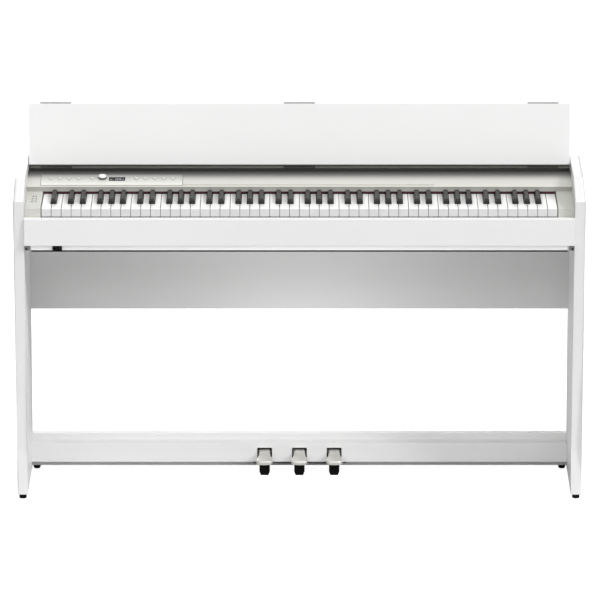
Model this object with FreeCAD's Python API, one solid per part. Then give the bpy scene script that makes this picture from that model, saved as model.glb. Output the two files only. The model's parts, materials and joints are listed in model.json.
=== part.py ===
import FreeCAD, Part
import math
import os

os.makedirs("parts", exist_ok=True)

# Digital piano on its stand, in millimetres. +Z is up and the player sits on the -Y side.
# Everything is drawn with Y = 0 at the front edge of the key slip and Z = 0 on the floor;
# save() then moves it back by half the depth, so that the origin is the middle of the footprint.

# Driving dimensions: the cabinet
cabinet_depth = 345.0
side_height = 781.0
side_thickness = 25.5
cheek_width = 39.5
key_side_room = 0.85
board_thickness = 15.0
base_gap = 10.0
leg_front_setback = 62.0
leg_taper_bottom = 120.0
side_proud = 7.0
side_facet_depth = 100.0
nose_drop = 27.5
crease_drop = 34.0
crease_setback = 25.5
slip_thickness = 18.0
slip_height = 66.0
keybed_thickness = 12.0
keybed_setback = 8.0
keybed_corner_notch = 16.5
keybed_notch_depth = 60.0
modesty_height = 220.0
modesty_back_inset = 30.0
rail_drop = 1.0
rail_height = 22.0
rail_depth = 14.0
top_board_gap = 7.0
top_board_drop = 1.0
socket_window_height = 34.0
socket_window_sill = 25.0

# Driving dimensions: the keyboard
white_pitch = 23.6
white_gap = 1.1
white_visible_length = 145.0
white_thickness = 14.0
white_lip_height = 20.0
white_lip_thickness = 4.0
black_base_width = 12.7
black_top_width = 9.6
black_height = 12.0
black_setback = 47.0
black_front_rake = 4.5
black_shoulder = 2.0
black_side_gap = 1.0
black_front_gap = 1.5
key_front_gap = 2.0
key_drop = 50.0
key_tail_length = 85.0
pivot_from_tail_end = 5.0
pivot_rod_radius = 2.7
pivot_gap = 0.3
stop_rail_setback = 36.0
stop_rail_depth = 8.0
stop_rail_gap = 8.5
pivot_rail_depth = 12.0
frame_rib = 4.0
frame_rib_height = 40.0

# Driving dimensions: fascia and controls
fascia_wall = 3.0
fascia_depth = 97.0
fascia_lip_height = 12.0
fascia_lip_drop = 7.0
felt_height = 4.5
felt_depth = 3.0
plate_thickness = 1.2
plate_inset = 33.5
plate_length = 340.0
plate_front = 7.0
plate_rear = 70.0
control_row = 46.0
button_radius = 4.5
button_proud = 1.6
button_travel = 0.8
button_pitch = 22.0
button_edge_round = 0.6
left_buttons_from = 23.5
function_button_from = 123.0
dial_from = 147.5
display_from = 182.5
right_buttons_from = 229.0
dial_radius = 10.0
dial_height = 8.0
dial_shaft_radius = 3.0
display_width = 39.0
display_depth = 22.0
panel_gap = 0.3
ledge_gap = 2.5
ledge_length = 601.5
ledge_setback = 1.0
ledge_width = 2.5
ledge_height = 2.0
ledge_end_width = 3.0
ledge_end_depth = 8.0
board_drop = 9.7
circuit_thickness = 1.6
circuit_inset = 6.0
circuit_post_radius = 2.5

# Driving dimensions: the folding lid
lid_thickness = 12.0
lid_end_gap = 1.5
flap_shorter_by = 28.0
lid_open_angle = 98.0
lid_edge_gap = 0.5
hinge_behind_fascia = 17.0
hinge_below_top = 5.0
fold_above_top = 1.0
lid_to_fascia_gap = 2.0
flap_front = 8.0
flap_lip_thickness = 9.0
flap_lip_gap = 4.0
hinge_length = 76.0
hinge_barrel_radius = 2.5
hinge_leaf = 1.5
hinge_leaf_width = 18.0
hinge_pin_radius = 1.1
hinge_inset = 65.0
hinge_edge_gap = 2.0
knuckle_gap = 0.2
flap_nose_round = 3.0
bumper_radius = 6.0
bumper_depth = 6.0
bumper_inset = 40.0

# Driving dimensions: the pedals
stretcher_thickness = 24.0
stretcher_height = 80.0
pedal_box_depth = 36.0
pedal_box_bottom = 28.5
pedal_box_top = 77.0
pedal_box_wall = 3.0
pedal_pitch = 85.0
pedal_opening_width = 35.6
pedal_opening_bottom = 40.0
pedal_opening_top = 64.0
pedal_reach = 95.0
pedal_root_width = 27.0
pedal_head_width = 39.5
pedal_thickness = 10.0
pedal_root_top = 60.0
pedal_slope = 3.0
pedal_corner = 12.0
pedal_tip_bow = 1.0
pedal_waist_at = 0.62
pedal_arm_inset = 3.0
pedal_axle_radius = 4.0
pedal_axle_height = 50.0
pedal_axle_inset = 12.0
pedal_hub_radius = 8.0
running_gap = 0.05
chassis_half_width = 114.0
chassis_thickness = 2.5
bracket_thickness = 4.0
bracket_reach = 11.0
spring_radius = 7.0
spring_length = 10.0
spring_gap = 0.3
boot_width = 25.4
boot_depth = 20.0
boot_ahead_of_box = 20.0

# Driving dimensions: sockets, speakers, feet and fasteners
phones_inset = 78.5
phones_width = 22.0
phones_length = 40.0
phones_front = 1.0
large_jack_radius = 3.2
small_jack_radius = 1.8
jack_sleeve_wall = 1.0
jack_depth = 30.0
socket_plate_inset = 204.5
socket_plate_width = 150.0
socket_plate_height = 50.0
inlet_bore_radius = 2.75
inlet_depth = 14.0
inlet_offset = 40.0
inlet_collar_radius = 6.0
inlet_body_half = 7.0
plate_gauge = 2.0
speaker_inset = 174.5
speaker_y = 150.0
speaker_radius = 55.0
speaker_hole_radius = 50.0
speaker_height = 42.0
speaker_rim_height = 4.0
magnet_radius = 28.0
magnet_height = 16.0
grille_thickness = 2.0
grille_slot_pitch = 10.0
grille_slot_width = 4.0
grille_border = 6.0
glide_radius = 9.0
glide_setback = 10.0
rear_foot_radius = 10.5
rear_foot_taper = 3.0
screw_radius = 3.0
screw_head_radius = 7.0
screw_head_height = 2.7
screw_length = 55.0
screw_gap = 0.2
screw_sink = 0.3
keybed_screw_front = 100.0
keybed_screw_rear = 280.0
modesty_screw_inset = 50.0
stretcher_screw_low = 28.0
stretcher_screw_inset = 18.0

# Sizes that follow from the ones above
white_count = 52
key_count = 88
keyboard_half = white_count * white_pitch / 2
inner_half = keyboard_half + white_gap / 2 + cheek_width + key_side_room
outer_half = inner_half + side_thickness
plate_left = -inner_half + plate_inset
plate_right = plate_left + plate_length
ledge_left = plate_right + ledge_gap
ledge_right = ledge_left + ledge_length
phones_x = -inner_half + phones_inset
socket_plate_x = inner_half - socket_plate_inset
speaker_x = inner_half - speaker_inset
key_top = side_height - key_drop
key_bottom = key_top - white_thickness
key_front = slip_thickness + key_front_gap
fascia_front = key_front + white_visible_length
key_rear = fascia_front + key_tail_length
fascia_rear = fascia_front + fascia_depth
slip_top = key_top - white_lip_height - 1.0
keybed_top = slip_top - slip_height
keybed_bottom = keybed_top - keybed_thickness
pivot_y = key_rear - pivot_from_tail_end
pivot_z = key_bottom - pivot_rod_radius - pivot_gap
hinge_y = fascia_rear + hinge_behind_fascia
hinge_z = side_height - hinge_below_top
lid_panel_length = (hinge_y - flap_front + flap_shorter_by) / 2
fold_y = hinge_y - lid_panel_length
fold_z = side_height + fold_above_top
lid_bottom = side_height - lid_thickness
fascia_rear_top = lid_bottom - lid_to_fascia_gap
fascia_lip_bottom = key_top + fascia_lip_drop
fascia_front_top = fascia_lip_bottom + fascia_lip_height
fascia_angle = math.degrees(math.atan2(fascia_rear_top - fascia_front_top, fascia_depth))
flap_angle = math.degrees(math.atan2(crease_drop, fold_y - crease_setback))
flap_fold_angle = 180.0 + flap_angle
rail_top = fascia_rear_top - rail_drop
top_board_front = hinge_y + top_board_gap
top_board_top = side_height - top_board_drop
back_inner = cabinet_depth - board_thickness
stretcher_front = cabinet_depth - stretcher_thickness
stretcher_top = base_gap + stretcher_height + 1.0
pedal_box_front = stretcher_front - pedal_box_depth
pedal_axle_y = stretcher_front - pedal_axle_inset
pedal_tip = pedal_box_front - pedal_reach
modesty_back = cabinet_depth - modesty_back_inset
modesty_front = modesty_back - board_thickness
modesty_bottom = keybed_bottom - modesty_height
x_axis = FreeCAD.Vector(1, 0, 0)
y_axis = FreeCAD.Vector(0, 1, 0)


# Drawing helpers
def box(x0, x1, y0, y1, z0, z1):
    """A block between two corners."""
    return Part.makeBox(x1 - x0, y1 - y0, z1 - z0, FreeCAD.Vector(x0, y0, z0))


def prism(outline, x0, x1):
    """A (y, z) outline pushed along X from x0 to x1."""
    corners = [FreeCAD.Vector(x0, y, z) for y, z in outline]
    face = Part.Face(Part.makePolygon(corners + corners[:1]))
    return face.extrude(FreeCAD.Vector(x1 - x0, 0, 0))


def bar_x(y, z, radius, x0, x1):
    """A round bar along X."""
    return Part.makeCylinder(radius, x1 - x0, FreeCAD.Vector(x0, y, z), x_axis)


def bar_y(x, z, radius, y0, y1):
    """A round bar along Y."""
    return Part.makeCylinder(radius, y1 - y0, FreeCAD.Vector(x, y0, z), y_axis)


def bar_z(x, y, radius, z0, z1):
    """A round bar along Z."""
    return Part.makeCylinder(radius, z1 - z0, FreeCAD.Vector(x, y, z0))


def turned(shape, y, z, degrees):
    """A copy turned about the line along X through (y, z)."""
    copy = shape.copy()
    copy.rotate(FreeCAD.Vector(0, y, z), x_axis, degrees)
    return copy


def on_panel(shape):
    """Moves a shape from the panel's own flat frame onto the sloping fascia."""
    copy = turned(shape, 0, 0, fascia_angle)
    copy.translate(FreeCAD.Vector(0, fascia_front, fascia_front_top))
    return copy


def mirrored(shape):
    """The same piece on the other side of the piano."""
    return shape.mirror(FreeCAD.Vector(0, 0, 0), x_axis)


def save(node, *solids):
    """Writes one named node, as one solid or a group of like solids."""
    shape = solids[0] if len(solids) == 1 else Part.makeCompound(list(solids))
    shape = shape.copy()
    shape.translate(FreeCAD.Vector(0, -cabinet_depth / 2, 0))
    shape.exportStep(f"parts/{node}.step")


# Fasteners: long screws from outside each side panel into the ends of the boards
screw_places = [
    (keybed_screw_front, keybed_top - keybed_thickness / 2),
    (keybed_screw_rear, keybed_top - keybed_thickness / 2),
    (modesty_front + board_thickness / 2, modesty_bottom + modesty_screw_inset),
    (modesty_front + board_thickness / 2, keybed_bottom - modesty_screw_inset),
    (stretcher_front + stretcher_thickness / 2, base_gap + stretcher_screw_low),
    (stretcher_front + stretcher_thickness / 2, stretcher_top - stretcher_screw_inset),
]


def screw(y, z):
    """A flat-headed screw whose head lies just below the right panel's outer face."""
    head_out = outer_half - screw_sink
    head = bar_x(y, z, screw_head_radius, head_out - screw_head_height, head_out)
    return head.fuse(bar_x(y, z, screw_radius, head_out - screw_length, head_out - 1.0))


def screw_hole(y, z):
    """The clearance hole and counterbore for one screw on the right."""
    head = bar_x(y, z, screw_head_radius + screw_gap,
                 outer_half - screw_sink - screw_head_height, outer_half + 1.0)
    shank_start = outer_half - screw_sink - screw_length - 1.0
    return head.fuse(bar_x(y, z, screw_radius + screw_gap, shank_start, outer_half))


def with_screw_holes(shape):
    """Cuts the screw holes of both ends through a board or side panel."""
    for y, z in screw_places:
        hole = screw_hole(y, z)
        shape = shape.cut(hole)
        shape = shape.cut(mirrored(hole))
    return shape


# Stand and case boards
def side_panel():
    """Right-hand side: flat top, long facet down to the nose, tapered leg."""
    outline = [
        (leg_front_setback, base_gap),
        (leg_front_setback, leg_taper_bottom),
        (0.0, side_height - nose_drop),
        (side_facet_depth, side_height + side_proud),
        (cabinet_depth, side_height + side_proud),
        (cabinet_depth, base_gap),
    ]
    return with_screw_holes(prism(outline, inner_half, outer_half))


def keybed():
    """Bottom board of the keyboard case, with speaker holes and a notch for the phones box."""
    board = box(-inner_half, inner_half, keybed_setback, cabinet_depth, keybed_bottom, keybed_top)
    notch_x = inner_half - keybed_corner_notch
    notch = box(notch_x, inner_half + 1, 0, keybed_notch_depth, keybed_bottom - 1, keybed_top + 1)
    board = board.cut(notch).cut(mirrored(notch))
    for x in (-speaker_x, speaker_x):
        board = board.cut(bar_z(x, speaker_y, speaker_hole_radius, keybed_bottom - 1, keybed_top + 1))
    phones_half = phones_width / 2 + panel_gap
    phones_rear = phones_front + phones_length + panel_gap
    board = board.cut(box(phones_x - phones_half, phones_x + phones_half, 0, phones_rear,
                          keybed_bottom - 1, keybed_top + 1))
    return with_screw_holes(board)


def key_slip():
    return box(-inner_half, inner_half, 0, slip_thickness, keybed_top, slip_top)


def cheek_block():
    """Right-hand block that closes the case beside the last key."""
    x0 = inner_half - cheek_width
    outline = [
        (key_front, keybed_top),
        (key_front, key_top + 1.0),
        (fascia_front, fascia_lip_bottom),
        (fascia_rear, fascia_lip_bottom),
        (fascia_rear, keybed_top),
    ]
    return prism(outline, x0, inner_half)


def modesty_panel():
    board = box(-inner_half, inner_half, modesty_front, modesty_back, modesty_bottom, keybed_bottom)
    return with_screw_holes(board)


def socket_window():
    half = socket_plate_width / 2 - 8.0
    z0 = keybed_top + socket_window_sill
    return box(socket_plate_x - half, socket_plate_x + half, back_inner - 5, cabinet_depth + 1,
               z0, z0 + socket_window_height)


def back_board():
    board = box(-inner_half, inner_half, back_inner, cabinet_depth, keybed_top, rail_top)
    return board.cut(socket_window())


def top_board():
    """Fixed rear top with the rail that carries the fascia and the lid hinges."""
    outline = [
        (fascia_rear, rail_top - rail_height),
        (fascia_rear, rail_top),
        (top_board_front, rail_top),
        (top_board_front, top_board_top),
        (cabinet_depth, top_board_top),
        (cabinet_depth, rail_top),
        (top_board_front + rail_depth, rail_top),
        (top_board_front + rail_depth, rail_top - rail_height),
    ]
    return prism(outline, -inner_half, inner_half)


def stretcher():
    """Lower rear board between the legs; the pedal box is fixed to its front."""
    board = box(-inner_half, inner_half, stretcher_front, cabinet_depth, base_gap, stretcher_top)
    return with_screw_holes(board)


# Keyboard
white_steps = {0: 0, 2: 1, 4: 2, 5: 3, 7: 4, 9: 5, 11: 6}
note_names = ["c", "c_sharp", "d", "d_sharp", "e", "f", "f_sharp", "g", "g_sharp", "a", "a_sharp", "b"]
slot_width = black_base_width + 2 * black_side_gap


def octave_left(number):
    """Left edge of the octave that holds a key; key 0 is the lowest A."""
    octave = (number + 9) // 12
    return -keyboard_half + (7 * octave - 5) * white_pitch


def black_centre(number):
    """Centre line of a black key: tails between the black keys of a group are equally wide."""
    step = (number + 9) % 12
    if step < 5:
        group_start, whites, blacks, place = 0, 3, 2, (step - 1) // 2
    else:
        group_start, whites, blacks, place = 3, 4, 3, (step - 6) // 2
    tail = (whites * white_pitch - blacks * slot_width) / whites
    start = octave_left(number) + group_start * white_pitch
    return start + (place + 1) * tail + (place + 0.5) * slot_width


def is_white(number):
    return (number + 9) % 12 in white_steps


def white_key(number):
    """A plastic white key: a bar with a deep front lip, cut back beside its black keys."""
    left = octave_left(number) + white_steps[(number + 9) % 12] * white_pitch
    lip_rear = key_front + white_lip_thickness
    outline = [
        (key_front, key_top - white_lip_height),
        (key_front, key_top),
        (key_rear, key_top),
        (key_rear, key_bottom),
        (lip_rear, key_bottom),
        (lip_rear, key_top - white_lip_height),
    ]
    key = prism(outline, left + white_gap / 2, left + white_pitch - white_gap / 2)
    for neighbour in (number - 1, number + 1):
        if 0 <= neighbour < key_count and not is_white(neighbour):
            centre = black_centre(neighbour)
            slot_front = key_front + black_setback - black_front_gap
            key = key.cut(box(centre - slot_width / 2, centre + slot_width / 2,
                              slot_front, key_rear + 1, key_bottom - 1, key_top + 1))
    return key


def black_key(number):
    """A black key: tapered sides and a raked front, dropping to a tail under the fascia."""
    centre = black_centre(number)
    front = key_front + black_setback
    ridge_end = fascia_front - black_front_gap
    base, top = black_base_width / 2, black_top_width / 2
    section = [
        (-base, key_bottom),
        (base, key_bottom),
        (base, key_top + black_shoulder),
        (top, key_top + black_height),
        (-top, key_top + black_height),
        (-base, key_top + black_shoulder),
    ]
    corners = [FreeCAD.Vector(centre + x, front, z) for x, z in section]
    face = Part.Face(Part.makePolygon(corners + corners[:1]))
    bar = face.extrude(FreeCAD.Vector(0, key_rear - front, 0))
    outline = [
        (front, key_bottom),
        (front, key_top + black_shoulder),
        (front + black_front_rake, key_top + black_height),
        (ridge_end, key_top + black_height),
        (ridge_end, key_top),
        (key_rear, key_top),
        (key_rear, key_bottom),
    ]
    return bar.common(prism(outline, centre - slot_width, centre + slot_width))


def key_frame():
    """Chassis under the keys: front stop rail, pivot rail with its rod, end plates and ribs."""
    half = keyboard_half - 1.0
    front, rear = key_front + stop_rail_setback, pivot_y + pivot_rail_depth / 2
    front_rail = box(-half, half, front, front + stop_rail_depth, keybed_top,
                     key_bottom - stop_rail_gap)
    rear_rail = box(-half, half, rear - pivot_rail_depth, rear, keybed_top, pivot_z - 1.5)
    frame = front_rail.fuse(rear_rail)
    rib = frame_rib
    for x in (-half, -speaker_x / 2, -rib / 2, speaker_x / 2 - rib, half - rib):
        frame = frame.fuse(box(x, x + rib, front, rear, keybed_top, keybed_top + frame_rib_height))
    frame = frame.fuse(bar_x(pivot_y, pivot_z, pivot_rod_radius, -half, half))
    return frame.removeSplitter()


# Fascia and controls. Panel-frame shapes are drawn flat: Y runs up the slope, Z is proud of it.
def control_hole(x, radius):
    return bar_z(x, control_row, radius, -fascia_wall - 1, plate_thickness + 1)


left_buttons = [plate_left + left_buttons_from + button_pitch * step for step in range(4)]
right_buttons = [plate_left + right_buttons_from + button_pitch * step for step in range(5)]
button_xs = left_buttons + [plate_left + function_button_from] + right_buttons
button_nodes = [
    "power_button", "volume_down_button", "volume_up_button", "brilliance_button",
    "function_button", "piano_tone_button", "other_tone_button", "song_button",
    "metronome_button", "split_button",
]
dial_x = plate_left + dial_from
display_x = plate_left + display_from


def fascia():
    """Sloping metal panel behind the keys, with a short lip down in front."""
    def inner_z(y):
        rise = (y - fascia_front) * math.tan(math.radians(fascia_angle))
        return fascia_front_top + rise - fascia_wall / math.cos(math.radians(fascia_angle))
    outline = [
        (fascia_front, fascia_lip_bottom),
        (fascia_front, fascia_front_top),
        (fascia_rear, fascia_rear_top),
        (fascia_rear, inner_z(fascia_rear)),
        (fascia_front + fascia_wall, inner_z(fascia_front + fascia_wall)),
        (fascia_front + fascia_wall, fascia_lip_bottom),
    ]
    panel = prism(outline, -inner_half, inner_half)
    for x in button_xs:
        panel = panel.cut(on_panel(control_hole(x, button_radius + panel_gap)))
    return panel.cut(on_panel(control_hole(dial_x, dial_shaft_radius + panel_gap)))


def display_space(margin, z0, z1):
    half_x = display_width / 2 + margin
    half_y = display_depth / 2 + margin
    return box(display_x - half_x, display_x + half_x, control_row - 3 - half_y,
               control_row - 3 + half_y, z0, z1)


def control_plate():
    """Thin raised plate that carries the buttons, the dial and the display."""
    plate = box(plate_left, plate_right, plate_front, plate_rear, 0, plate_thickness)
    for x in button_xs:
        plate = plate.cut(control_hole(x, button_radius + panel_gap))
    plate = plate.cut(control_hole(dial_x, dial_shaft_radius + panel_gap))
    return on_panel(plate.cut(display_space(panel_gap, -1, plate_thickness + 1)))


def button(x):
    """A round push button whose stem ends just above its switch travel."""
    bottom = -board_drop + button_travel + panel_gap
    top = plate_thickness + button_proud
    cap = bar_z(x, control_row, button_radius, bottom, top)
    rim = [edge for edge in cap.Edges if abs(edge.BoundBox.ZMin - top) < 0.01
           and edge.BoundBox.ZLength < 0.01]
    return on_panel(cap.makeFillet(button_edge_round, rim))


def volume_dial():
    bottom = plate_thickness + panel_gap
    knob = Part.makeCone(dial_radius, dial_radius - 1.0, dial_height,
                         FreeCAD.Vector(dial_x, control_row, bottom))
    shaft = bar_z(dial_x, control_row, dial_shaft_radius, -board_drop + panel_gap, bottom + 1)
    return on_panel(knob.fuse(shaft))


def circuit_board():
    """Control board held under the fascia on short posts."""
    inset = circuit_inset
    board = box(plate_left + inset, plate_right - inset, plate_front + inset, plate_rear,
                -board_drop - circuit_thickness, -board_drop)
    for x in (plate_left + 2 * inset, dial_x - 15, display_x + 30, plate_right - 2 * inset):
        for y in (plate_front + 2 * inset, plate_rear - inset):
            board = board.fuse(bar_z(x, y, circuit_post_radius, -board_drop - 0.5, -fascia_wall))
    return on_panel(board)


def key_felt():
    return box(-keyboard_half, keyboard_half, fascia_front, fascia_front + felt_depth,
               fascia_lip_bottom - felt_height, fascia_lip_bottom)


def score_ledge():
    """Low ridge with turned-up ends that keeps sheet music from sliding off the fascia."""
    front = plate_front + ledge_setback
    ridge = box(ledge_left, ledge_right, front, front + ledge_width, 0, ledge_height)
    for x in (ledge_left, ledge_right - ledge_end_width):
        ridge = ridge.fuse(box(x, x + ledge_end_width, front, front + ledge_end_depth, 0,
                               ledge_height))
    return on_panel(ridge.removeSplitter())


# Folding lid, drawn closed and then swung up; the flap is folded back behind the panel.
lid_half = inner_half - lid_end_gap
hinge_xs = [-lid_half + hinge_inset, 0.0, lid_half - hinge_inset]


def open_lid(shape):
    return turned(shape, hinge_y, hinge_z, -lid_open_angle)


def fold_flap(shape):
    return open_lid(turned(shape, fold_y, fold_z, -flap_fold_angle))


def hinge_outer(x, y, z):
    """The two outer knuckles of a hinge."""
    third = hinge_length / 3
    left = bar_x(y, z, hinge_barrel_radius, x - 1.5 * third, x - 0.5 * third - knuckle_gap)
    right = bar_x(y, z, hinge_barrel_radius, x + 0.5 * third + knuckle_gap, x + 1.5 * third)
    return left, right


def hinge_middle(x, y, z):
    third = hinge_length / 3
    return bar_x(y, z, hinge_barrel_radius, x - 0.5 * third + knuckle_gap,
                 x + 0.5 * third - knuckle_gap)


def hinge_pin(x, y, z):
    return bar_x(y, z, hinge_pin_radius, x - hinge_length / 2, x + hinge_length / 2)


def pin_bore(x, y, z):
    return bar_x(y, z, hinge_pin_radius + running_gap, x - hinge_length, x + hinge_length)


def barrel_room(x, y, z):
    """Space cut in a board's edge for a hinge barrel."""
    reach = hinge_barrel_radius + 0.5
    return bar_x(y, z, reach, x - hinge_length / 2 - 0.5, x + hinge_length / 2 + 0.5)


def fold_leaf_space(x, side):
    """The let-in plate of a fold hinge, on the panel (side 1) or the flat flap (side -1)."""
    half = hinge_length / 2
    near = fold_y + side * lid_edge_gap
    far = fold_y + side * (lid_edge_gap + hinge_leaf_width)
    return box(x - half, x + half, min(near, far), max(near, far),
               side_height - hinge_leaf, side_height)


def lid_panel():
    """Rear half of the lid, lying from its hinge to the fold line."""
    rear = hinge_y - hinge_edge_gap
    panel = box(-lid_half, lid_half, fold_y + lid_edge_gap, rear, lid_bottom, side_height)
    for x in hinge_xs:
        panel = panel.cut(fold_leaf_space(x, 1)).cut(barrel_room(x, fold_y, fold_z))
        panel = panel.cut(lid_leaf_plate(x)).cut(barrel_room(x, hinge_y, hinge_z))
    return open_lid(panel)


def lid_leaf_plate(x):
    half = hinge_length / 2
    rear = hinge_y - hinge_edge_gap
    return box(x - half, x + half, rear - hinge_leaf, rear, lid_bottom + 1.0, side_height - 1.0)


def lid_hinge_leaves():
    """Moving halves of the lid hinges and the panel halves of the fold hinges."""
    leaves = []
    for x in hinge_xs:
        knuckle = hinge_middle(x, hinge_y, hinge_z)
        bounds = knuckle.BoundBox
        tongue = lid_leaf_plate(x).common(box(bounds.XMin, bounds.XMax, 0, cabinet_depth,
                                              0, 2 * side_height))
        plate = lid_leaf_plate(x).cut(barrel_room(x, hinge_y, hinge_z))
        leaf = plate.fuse(tongue).fuse(knuckle)
        leaf = leaf.cut(pin_bore(x, hinge_y, hinge_z))
        leaves.append(open_lid(leaf))
        for knuckle in hinge_outer(x, fold_y, fold_z):
            bounds = knuckle.BoundBox
            plate = fold_leaf_space(x, 1)
            strip = plate.common(box(bounds.XMin, bounds.XMax, 0, cabinet_depth, 0, 2 * side_height))
            leaves.append(open_lid(strip.fuse(knuckle).cut(pin_bore(x, fold_y, fold_z))))
    return leaves


def fixed_hinge_leaves():
    """Fixed halves of the lid hinges, screwed to the front edge of the top board, with pins."""
    leaves = []
    for x in hinge_xs:
        leaf = hinge_pin(x, hinge_y, hinge_z)
        plate_top = hinge_z - 1.0
        plate = box(x - hinge_length / 2, x + hinge_length / 2, top_board_front - hinge_leaf,
                    top_board_front, rail_top, plate_top)
        for knuckle in hinge_outer(x, hinge_y, hinge_z):
            bounds = knuckle.BoundBox
            arm = box(bounds.XMin, bounds.XMax, hinge_y, top_board_front - hinge_leaf / 2,
                      hinge_z - hinge_barrel_radius, plate_top)
            leaf = leaf.fuse(knuckle).fuse(arm)
        leaves.append(leaf.fuse(plate).removeSplitter())
    return leaves


def flap_outline():
    """Closed flap: down the facet, over the nose and down a lip in front of the keys."""
    slope = math.tan(math.radians(flap_angle))
    start_y = fold_y - lid_edge_gap
    thick = lid_thickness / math.cos(math.radians(flap_angle))
    knee_y = flap_front + flap_nose_round
    lip_rear = flap_front + flap_lip_thickness
    lip_bottom = slip_top + flap_lip_gap
    return [
        (start_y, side_height - (fold_y - start_y) * slope),
        (knee_y, side_height - (fold_y - knee_y) * slope),
        (flap_front, side_height - (fold_y - knee_y) * slope - flap_nose_round),
        (flap_front, lip_bottom),
        (lip_rear, lip_bottom),
        (lip_rear, side_height - (fold_y - lip_rear) * slope - thick),
        (start_y, side_height - (fold_y - start_y) * slope - thick),
    ]


def lid_flap():
    flap = prism(flap_outline(), -lid_half, lid_half)
    for x in hinge_xs:
        flat_space = fold_leaf_space(x, -1)
        flap = flap.cut(turned(flat_space, fold_y, side_height, flap_angle))
        flap = flap.cut(barrel_room(x, fold_y, fold_z))
    return fold_flap(flap)


def flap_hinge_leaves():
    """Flap halves of the fold hinges, each with the hinge's pin."""
    leaves = []
    third = hinge_length / 3
    for x in hinge_xs:
        plate = turned(fold_leaf_space(x, -1), fold_y, side_height, flap_angle)
        strip = plate.common(box(x - third / 2 + knuckle_gap, x + third / 2 - knuckle_gap,
                                 0, cabinet_depth, 0, 2 * side_height))
        leaf = strip.fuse(hinge_middle(x, fold_y, fold_z)).fuse(hinge_pin(x, fold_y, fold_z))
        leaves.append(fold_flap(leaf))
    return leaves


def lid_bumpers():
    """Small rubber buffers under the flap's lip; they meet the key slip when the lid is shut."""
    lip_middle = flap_front + flap_lip_thickness / 2
    buffers = []
    for x in (-lid_half + bumper_inset, -lid_half / 3, lid_half / 3, lid_half - bumper_inset):
        buffer = box(x - bumper_radius, x + bumper_radius, lip_middle - bumper_depth / 2,
                     lip_middle + bumper_depth / 2, slip_top + panel_gap, slip_top + flap_lip_gap)
        buffers.append(fold_flap(buffer))
    return buffers


# Pedals
def pedal_centres():
    return {"pedal_left": -pedal_pitch, "pedal_middle": 0.0, "pedal_right": pedal_pitch}


def pedal_box():
    """Folded cover in front of the stretcher: top, front and bottom walls, open at the back."""
    outer = box(-inner_half, inner_half, pedal_box_front, stretcher_front, pedal_box_bottom,
                pedal_box_top)
    room = box(-inner_half - 1, inner_half + 1, pedal_box_front + pedal_box_wall,
               stretcher_front + 1, pedal_box_bottom + pedal_box_wall,
               pedal_box_top - pedal_box_wall)
    cover = outer.cut(room)
    half = pedal_opening_width / 2
    for x in pedal_centres().values():
        cover = cover.cut(box(x - half, x + half, pedal_box_front - 1,
                              pedal_box_front + pedal_box_wall + 1, pedal_opening_bottom,
                              pedal_opening_top))
    return cover


def pedal(x):
    """Cast pedal: a waisted arm that widens to a rounded head, with a hub on the axle."""
    root, head = pedal_root_width / 2, pedal_head_width / 2
    corner = pedal_corner
    tip, back = pedal_tip, pedal_box_front + pedal_box_wall
    widest = tip + corner
    waist = tip + pedal_waist_at * pedal_reach
    top = pedal_root_top
    plan = [
        Part.LineSegment(FreeCAD.Vector(-root, back, 0), FreeCAD.Vector(-root, waist, 0)),
        Part.LineSegment(FreeCAD.Vector(-root, waist, 0), FreeCAD.Vector(-head, widest, 0)),
        Part.Arc(FreeCAD.Vector(-head, widest, 0),
                 FreeCAD.Vector(-head + 0.32 * corner, tip + 0.32 * corner, 0),
                 FreeCAD.Vector(-head + corner, tip, 0)),
        Part.Arc(FreeCAD.Vector(-head + corner, tip, 0), FreeCAD.Vector(0, tip - pedal_tip_bow, 0),
                 FreeCAD.Vector(head - corner, tip, 0)),
        Part.Arc(FreeCAD.Vector(head - corner, tip, 0),
                 FreeCAD.Vector(head - 0.32 * corner, tip + 0.32 * corner, 0),
                 FreeCAD.Vector(head, widest, 0)),
        Part.LineSegment(FreeCAD.Vector(head, widest, 0), FreeCAD.Vector(root, waist, 0)),
        Part.LineSegment(FreeCAD.Vector(root, waist, 0), FreeCAD.Vector(root, back, 0)),
        Part.LineSegment(FreeCAD.Vector(root, back, 0), FreeCAD.Vector(-root, back, 0)),
    ]
    face = Part.Face(Part.Wire([piece.toShape() for piece in plan]))
    body = face.extrude(FreeCAD.Vector(0, 0, pedal_thickness))
    body.translate(FreeCAD.Vector(x, 0, top - pedal_thickness))
    slope = math.degrees(math.atan2(pedal_slope, pedal_reach))
    body = turned(body, pedal_box_front, top, slope)
    half = pedal_root_width / 2 - pedal_arm_inset
    arm = box(x - half, x + half, pedal_box_front - 10.0, pedal_axle_y, top - pedal_thickness + 1.0,
              top - 2.0)
    hub = bar_x(pedal_axle_y, pedal_axle_height, pedal_hub_radius, x - half, x + half)
    bore = bar_x(pedal_axle_y, pedal_axle_height, pedal_axle_radius + running_gap,
                 x - 2 * half, x + 2 * half)
    return body.fuse(arm).fuse(hub).cut(bore).removeSplitter()


def pedal_chassis():
    """Black steel plate under the pedal box, with a tongue over each boot and axle brackets."""
    top = pedal_box_bottom
    plate = box(-chassis_half_width, chassis_half_width, pedal_box_front + 1.0, stretcher_front,
                top - chassis_thickness, top)
    tongue_half = boot_width / 2 - 1.0
    for x in pedal_centres().values():
        plate = plate.fuse(box(x - tongue_half, x + tongue_half,
                               pedal_box_front - boot_ahead_of_box + 1.0, pedal_box_front + 5.0,
                               top - chassis_thickness, top))
    return plate.removeSplitter()


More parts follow.
